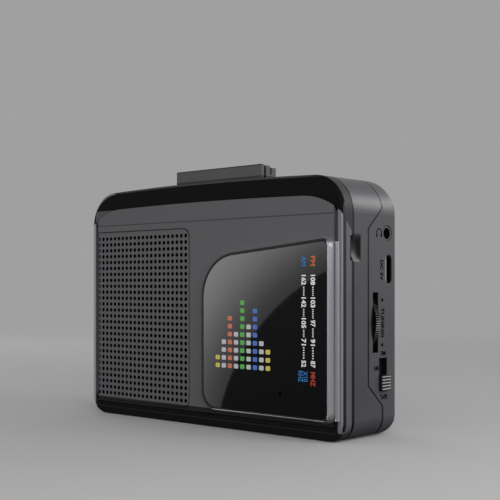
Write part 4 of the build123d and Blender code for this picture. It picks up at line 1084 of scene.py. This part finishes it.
class PLAYER_OT_stage(bpy.types.Operator):
    """Sets the camera, the floor, the backdrop and the lamps"""

    bl_idname = "player.stage"
    bl_label = "Stage"

    def execute(self, context):
        s = stage_settings()
        scene = context.scene
        scene.view_settings.view_transform = "Standard"
        let_go()
        bpy.ops.object.camera_add(
            location=mm(240.5, -259.95, 48.3), rotation=(math.pi / 2, 0, s.turn)
        )
        camera = context.object
        camera.data.lens = s.lens
        camera.data.sensor_width = 36.0
        camera.data.shift_y = 0.0677
        camera.data.clip_start = 0.01
        scene.camera = camera
        self.world(s)
        self.floor(s)
        for name, heading, far, wide, high, glow in (
            ("lamp_above", (0.76, -0.55, 0.26), 0.5, 0.3, 0.3, s.key),
            ("lamp_right", (0.93, 0.17, 0.42), 0.42, 0.2, 0.3, s.side),
            ("lamp_behind", (0.53, 0.77, 0.42), 0.8, 0.7, 0.14, s.behind),
            ("lamp_left", (-0.93, 0.34, 0.12), 0.7, 0.2, 0.5, s.left),
        ):
            lamp = self.lamp(name, Vector(heading).normalized() * far + Vector((0, 0, 0.04)), wide, high, glow)
            lamp.visible_diffuse = name != "lamp_behind"
        self.card(s)
        return {"FINISHED"}

    def lamp(self, name, spot, wide, high, glow, aim=(0, 0, 0.04)):
        """A soft box of an even brightness, turned to a point."""
        let_go()
        bpy.ops.object.light_add(type="AREA", location=spot)
        lamp = bpy.context.object
        lamp.name = name
        lamp.data.shape = "RECTANGLE"
        lamp.data.size = wide
        lamp.data.size_y = high
        lamp.data.energy = glow * math.pi * wide * high
        lamp.visible_camera = False
        lamp.rotation_euler = (Vector(aim) - Vector(spot)).to_track_quat("-Z", "Y").to_euler()
        return lamp

    def card(self, s):
        """The glowing card at the front left whose round cut-out the dial window mirrors."""
        let_go()
        bpy.ops.mesh.primitive_circle_add(vertices=72, radius=s.card_radius, fill_type="NOTHING")
        card = bpy.context.object
        card.name = "window_card"
        pick(card, "VERT", lambda co: True)
        bpy.ops.mesh.extrude_edges_move()
        bpy.ops.transform.resize(value=(1.46, 1.46, 1.0), center_override=(0, 0, 0))
        leave_edit()
        pick(card, "VERT", lambda co: co.x > 0.16 * co.y or co.y < -0.18 * abs(co.x))
        bpy.ops.mesh.delete(type="VERT")
        leave_edit()
        facing = Vector((0.6524, 0.7565, 0.0458))
        right = Vector((0.7573, -0.6531, 0.0))
        upward = facing.cross(-right)
        centre = Vector((-0.4246, -0.5478, 0.0016)) + right * 0.1545 - upward * 0.1259
        card.matrix_world = Matrix.Translation(centre) @ Matrix((right, upward, facing)).transposed().to_4x4()
        fix_place(card)
        glow = Finish("window card", (0.0, 0.0, 0.0, 1.0), 1.0, Specular_IOR_Level=0.0)
        x, y, z = glow.axes()
        off = [axis - middle / MM for axis, middle in zip((x, y, z), centre)]
        span = glow.node("Math", {"operation": "SQRT"}, {0: off[0] * off[0] + off[1] * off[1] + off[2] * off[2]})
        glow.set("Emission Color", glow.mix(span.ramp(208.0, 290.0), (0.21, 0.21, 0.21, 1.0), (1.0, 1.0, 1.0, 1.0)))
        glow.set("Emission Strength", s.card)
        dress(card, glow)
        card.visible_camera = False
        card.visible_diffuse = False
        card.visible_shadow = False

    def world(self, s):
        """Even light, with the backdrop's colour where the camera sees it."""
        world = bpy.data.worlds.new("studio")
        bpy.context.scene.world = world
        world.use_nodes = True
        tree = world.node_tree
        tree.nodes.clear()
        out = tree.nodes.new("ShaderNodeOutputWorld")
        path = tree.nodes.new("ShaderNodeLightPath")
        light = tree.nodes.new("ShaderNodeBackground")
        light.inputs["Color"].default_value = (1, 1, 1, 1)
        where = tree.nodes.new("ShaderNodeTexCoord")
        split = tree.nodes.new("ShaderNodeSeparateXYZ")
        rise = tree.nodes.new("ShaderNodeMapRange")
        rise.interpolation_type = "SMOOTHSTEP"
        rise.inputs["From Min"].default_value = 0.05
        rise.inputs["From Max"].default_value = 0.45
        rise.inputs["To Min"].default_value = s.horizon
        rise.inputs["To Max"].default_value = s.sky
        tree.links.new(where.outputs["Generated"], split.inputs[0])
        tree.links.new(split.outputs["Z"], rise.inputs["Value"])
        above = tree.nodes.new("ShaderNodeMapRange")
        above.inputs["From Min"].default_value = -0.25
        above.inputs["From Max"].default_value = 0.0
        above.inputs["To Min"].default_value = s.below
        above.inputs["To Max"].default_value = 1.0
        tree.links.new(split.outputs["Z"], above.inputs["Value"])
        overhead = tree.nodes.new("ShaderNodeMapRange")
        overhead.interpolation_type = "SMOOTHSTEP"
        overhead.inputs["From Min"].default_value = 0.45
        overhead.inputs["From Max"].default_value = 0.9
        overhead.inputs["To Min"].default_value = 1.0
        overhead.inputs["To Max"].default_value = s.overhead
        tree.links.new(split.outputs["Z"], overhead.inputs["Value"])
        strength = rise.outputs["Result"]
        for share in (above, overhead):
            product = tree.nodes.new("ShaderNodeMath")
            product.operation = "MULTIPLY"
            tree.links.new(strength, product.inputs[0])
            tree.links.new(share.outputs["Result"], product.inputs[1])
            strength = product.outputs[0]
        tree.links.new(strength, light.inputs["Strength"])
        seen = tree.nodes.new("ShaderNodeBackground")
        seen.inputs["Color"].default_value = tuple(s.backdrop)
        mix = tree.nodes.new("ShaderNodeMixShader")
        tree.links.new(path.outputs["Is Camera Ray"], mix.inputs[0])
        tree.links.new(light.outputs[0], mix.inputs[1])
        tree.links.new(seen.outputs[0], mix.inputs[2])
        tree.links.new(mix.outputs[0], out.inputs[0])

    def floor(self, s):
        """A plain floor that melts into the backdrop."""
        let_go()
        bpy.ops.mesh.primitive_circle_add(vertices=64, radius=1.6, fill_type="NGON", location=(0, 0, -0.0002))
        floor = bpy.context.object
        floor.name = "studio_floor"
        fix_place(floor)
        finish = Finish("studio floor", shade(s.backdrop, 2.02), 0.9, Specular_IOR_Level=0.0)
        x, y, z = finish.axes()
        reach = finish.node("Math", {"operation": "SQRT"}, {0: x * x + y * y})
        clear = finish.node("BsdfTransparent", {}, {}, output="BSDF")
        blend = finish.node("MixShader", {}, {0: reach.ramp(150.0, 700.0)}, output=0)
        mixer = blend.socket.node
        finish.tree.links.new(finish.shader.outputs[0], mixer.inputs[1])
        finish.tree.links.new(clear.socket, mixer.inputs[2])
        finish.tree.links.new(mixer.outputs[0], finish.output.inputs[0])
        dress(floor, finish)
        floor.visible_glossy = False
        floor.visible_diffuse = False


class PLAYER_PT_panel(bpy.types.Panel):
    """Lists the steps and their settings"""

    bl_label = "Cassette player"
    bl_idname = "PLAYER_PT_panel"
    bl_space_type = "VIEW_3D"
    bl_region_type = "UI"
    bl_category = "Player"

    def draw(self, context):
        layout = self.layout
        for group in (context.scene.player_sizes, context.scene.player_colours, context.scene.player_stage):
            box = layout.box()
            for name in group.__annotations__:
                box.prop(group, name)
        for step in STEPS:
            layout.operator(step.bl_idname)


STEPS = (
    PLAYER_OT_finishes,
    PLAYER_OT_grille,
    PLAYER_OT_frame_leg,
    PLAYER_OT_thumb_wheels,
    PLAYER_OT_dial,
    PLAYER_OT_side_marks,
    PLAYER_OT_springs,
    PLAYER_OT_stage,
)
GROUPS = {"player_sizes": PlayerSizes, "player_colours": PlayerColours, "player_stage": PlayerStage}


def register():
    for group in GROUPS.values():
        bpy.utils.register_class(group)
    for name, group in GROUPS.items():
        setattr(bpy.types.Scene, name, bpy.props.PointerProperty(type=group))
    for step in STEPS:
        bpy.utils.register_class(step)
    bpy.utils.register_class(PLAYER_PT_panel)


def unregister():
    bpy.utils.unregister_class(PLAYER_PT_panel)
    for step in reversed(STEPS):
        bpy.utils.unregister_class(step)
    for name, group in GROUPS.items():
        delattr(bpy.types.Scene, name)
        bpy.utils.unregister_class(group)


def main():
    """Runs every step."""
    register()
    for step in STEPS:
        family, action = step.bl_idname.split(".")
        getattr(getattr(bpy.ops, family), action)()
    let_go()


if __name__ == "__main__":
    main()
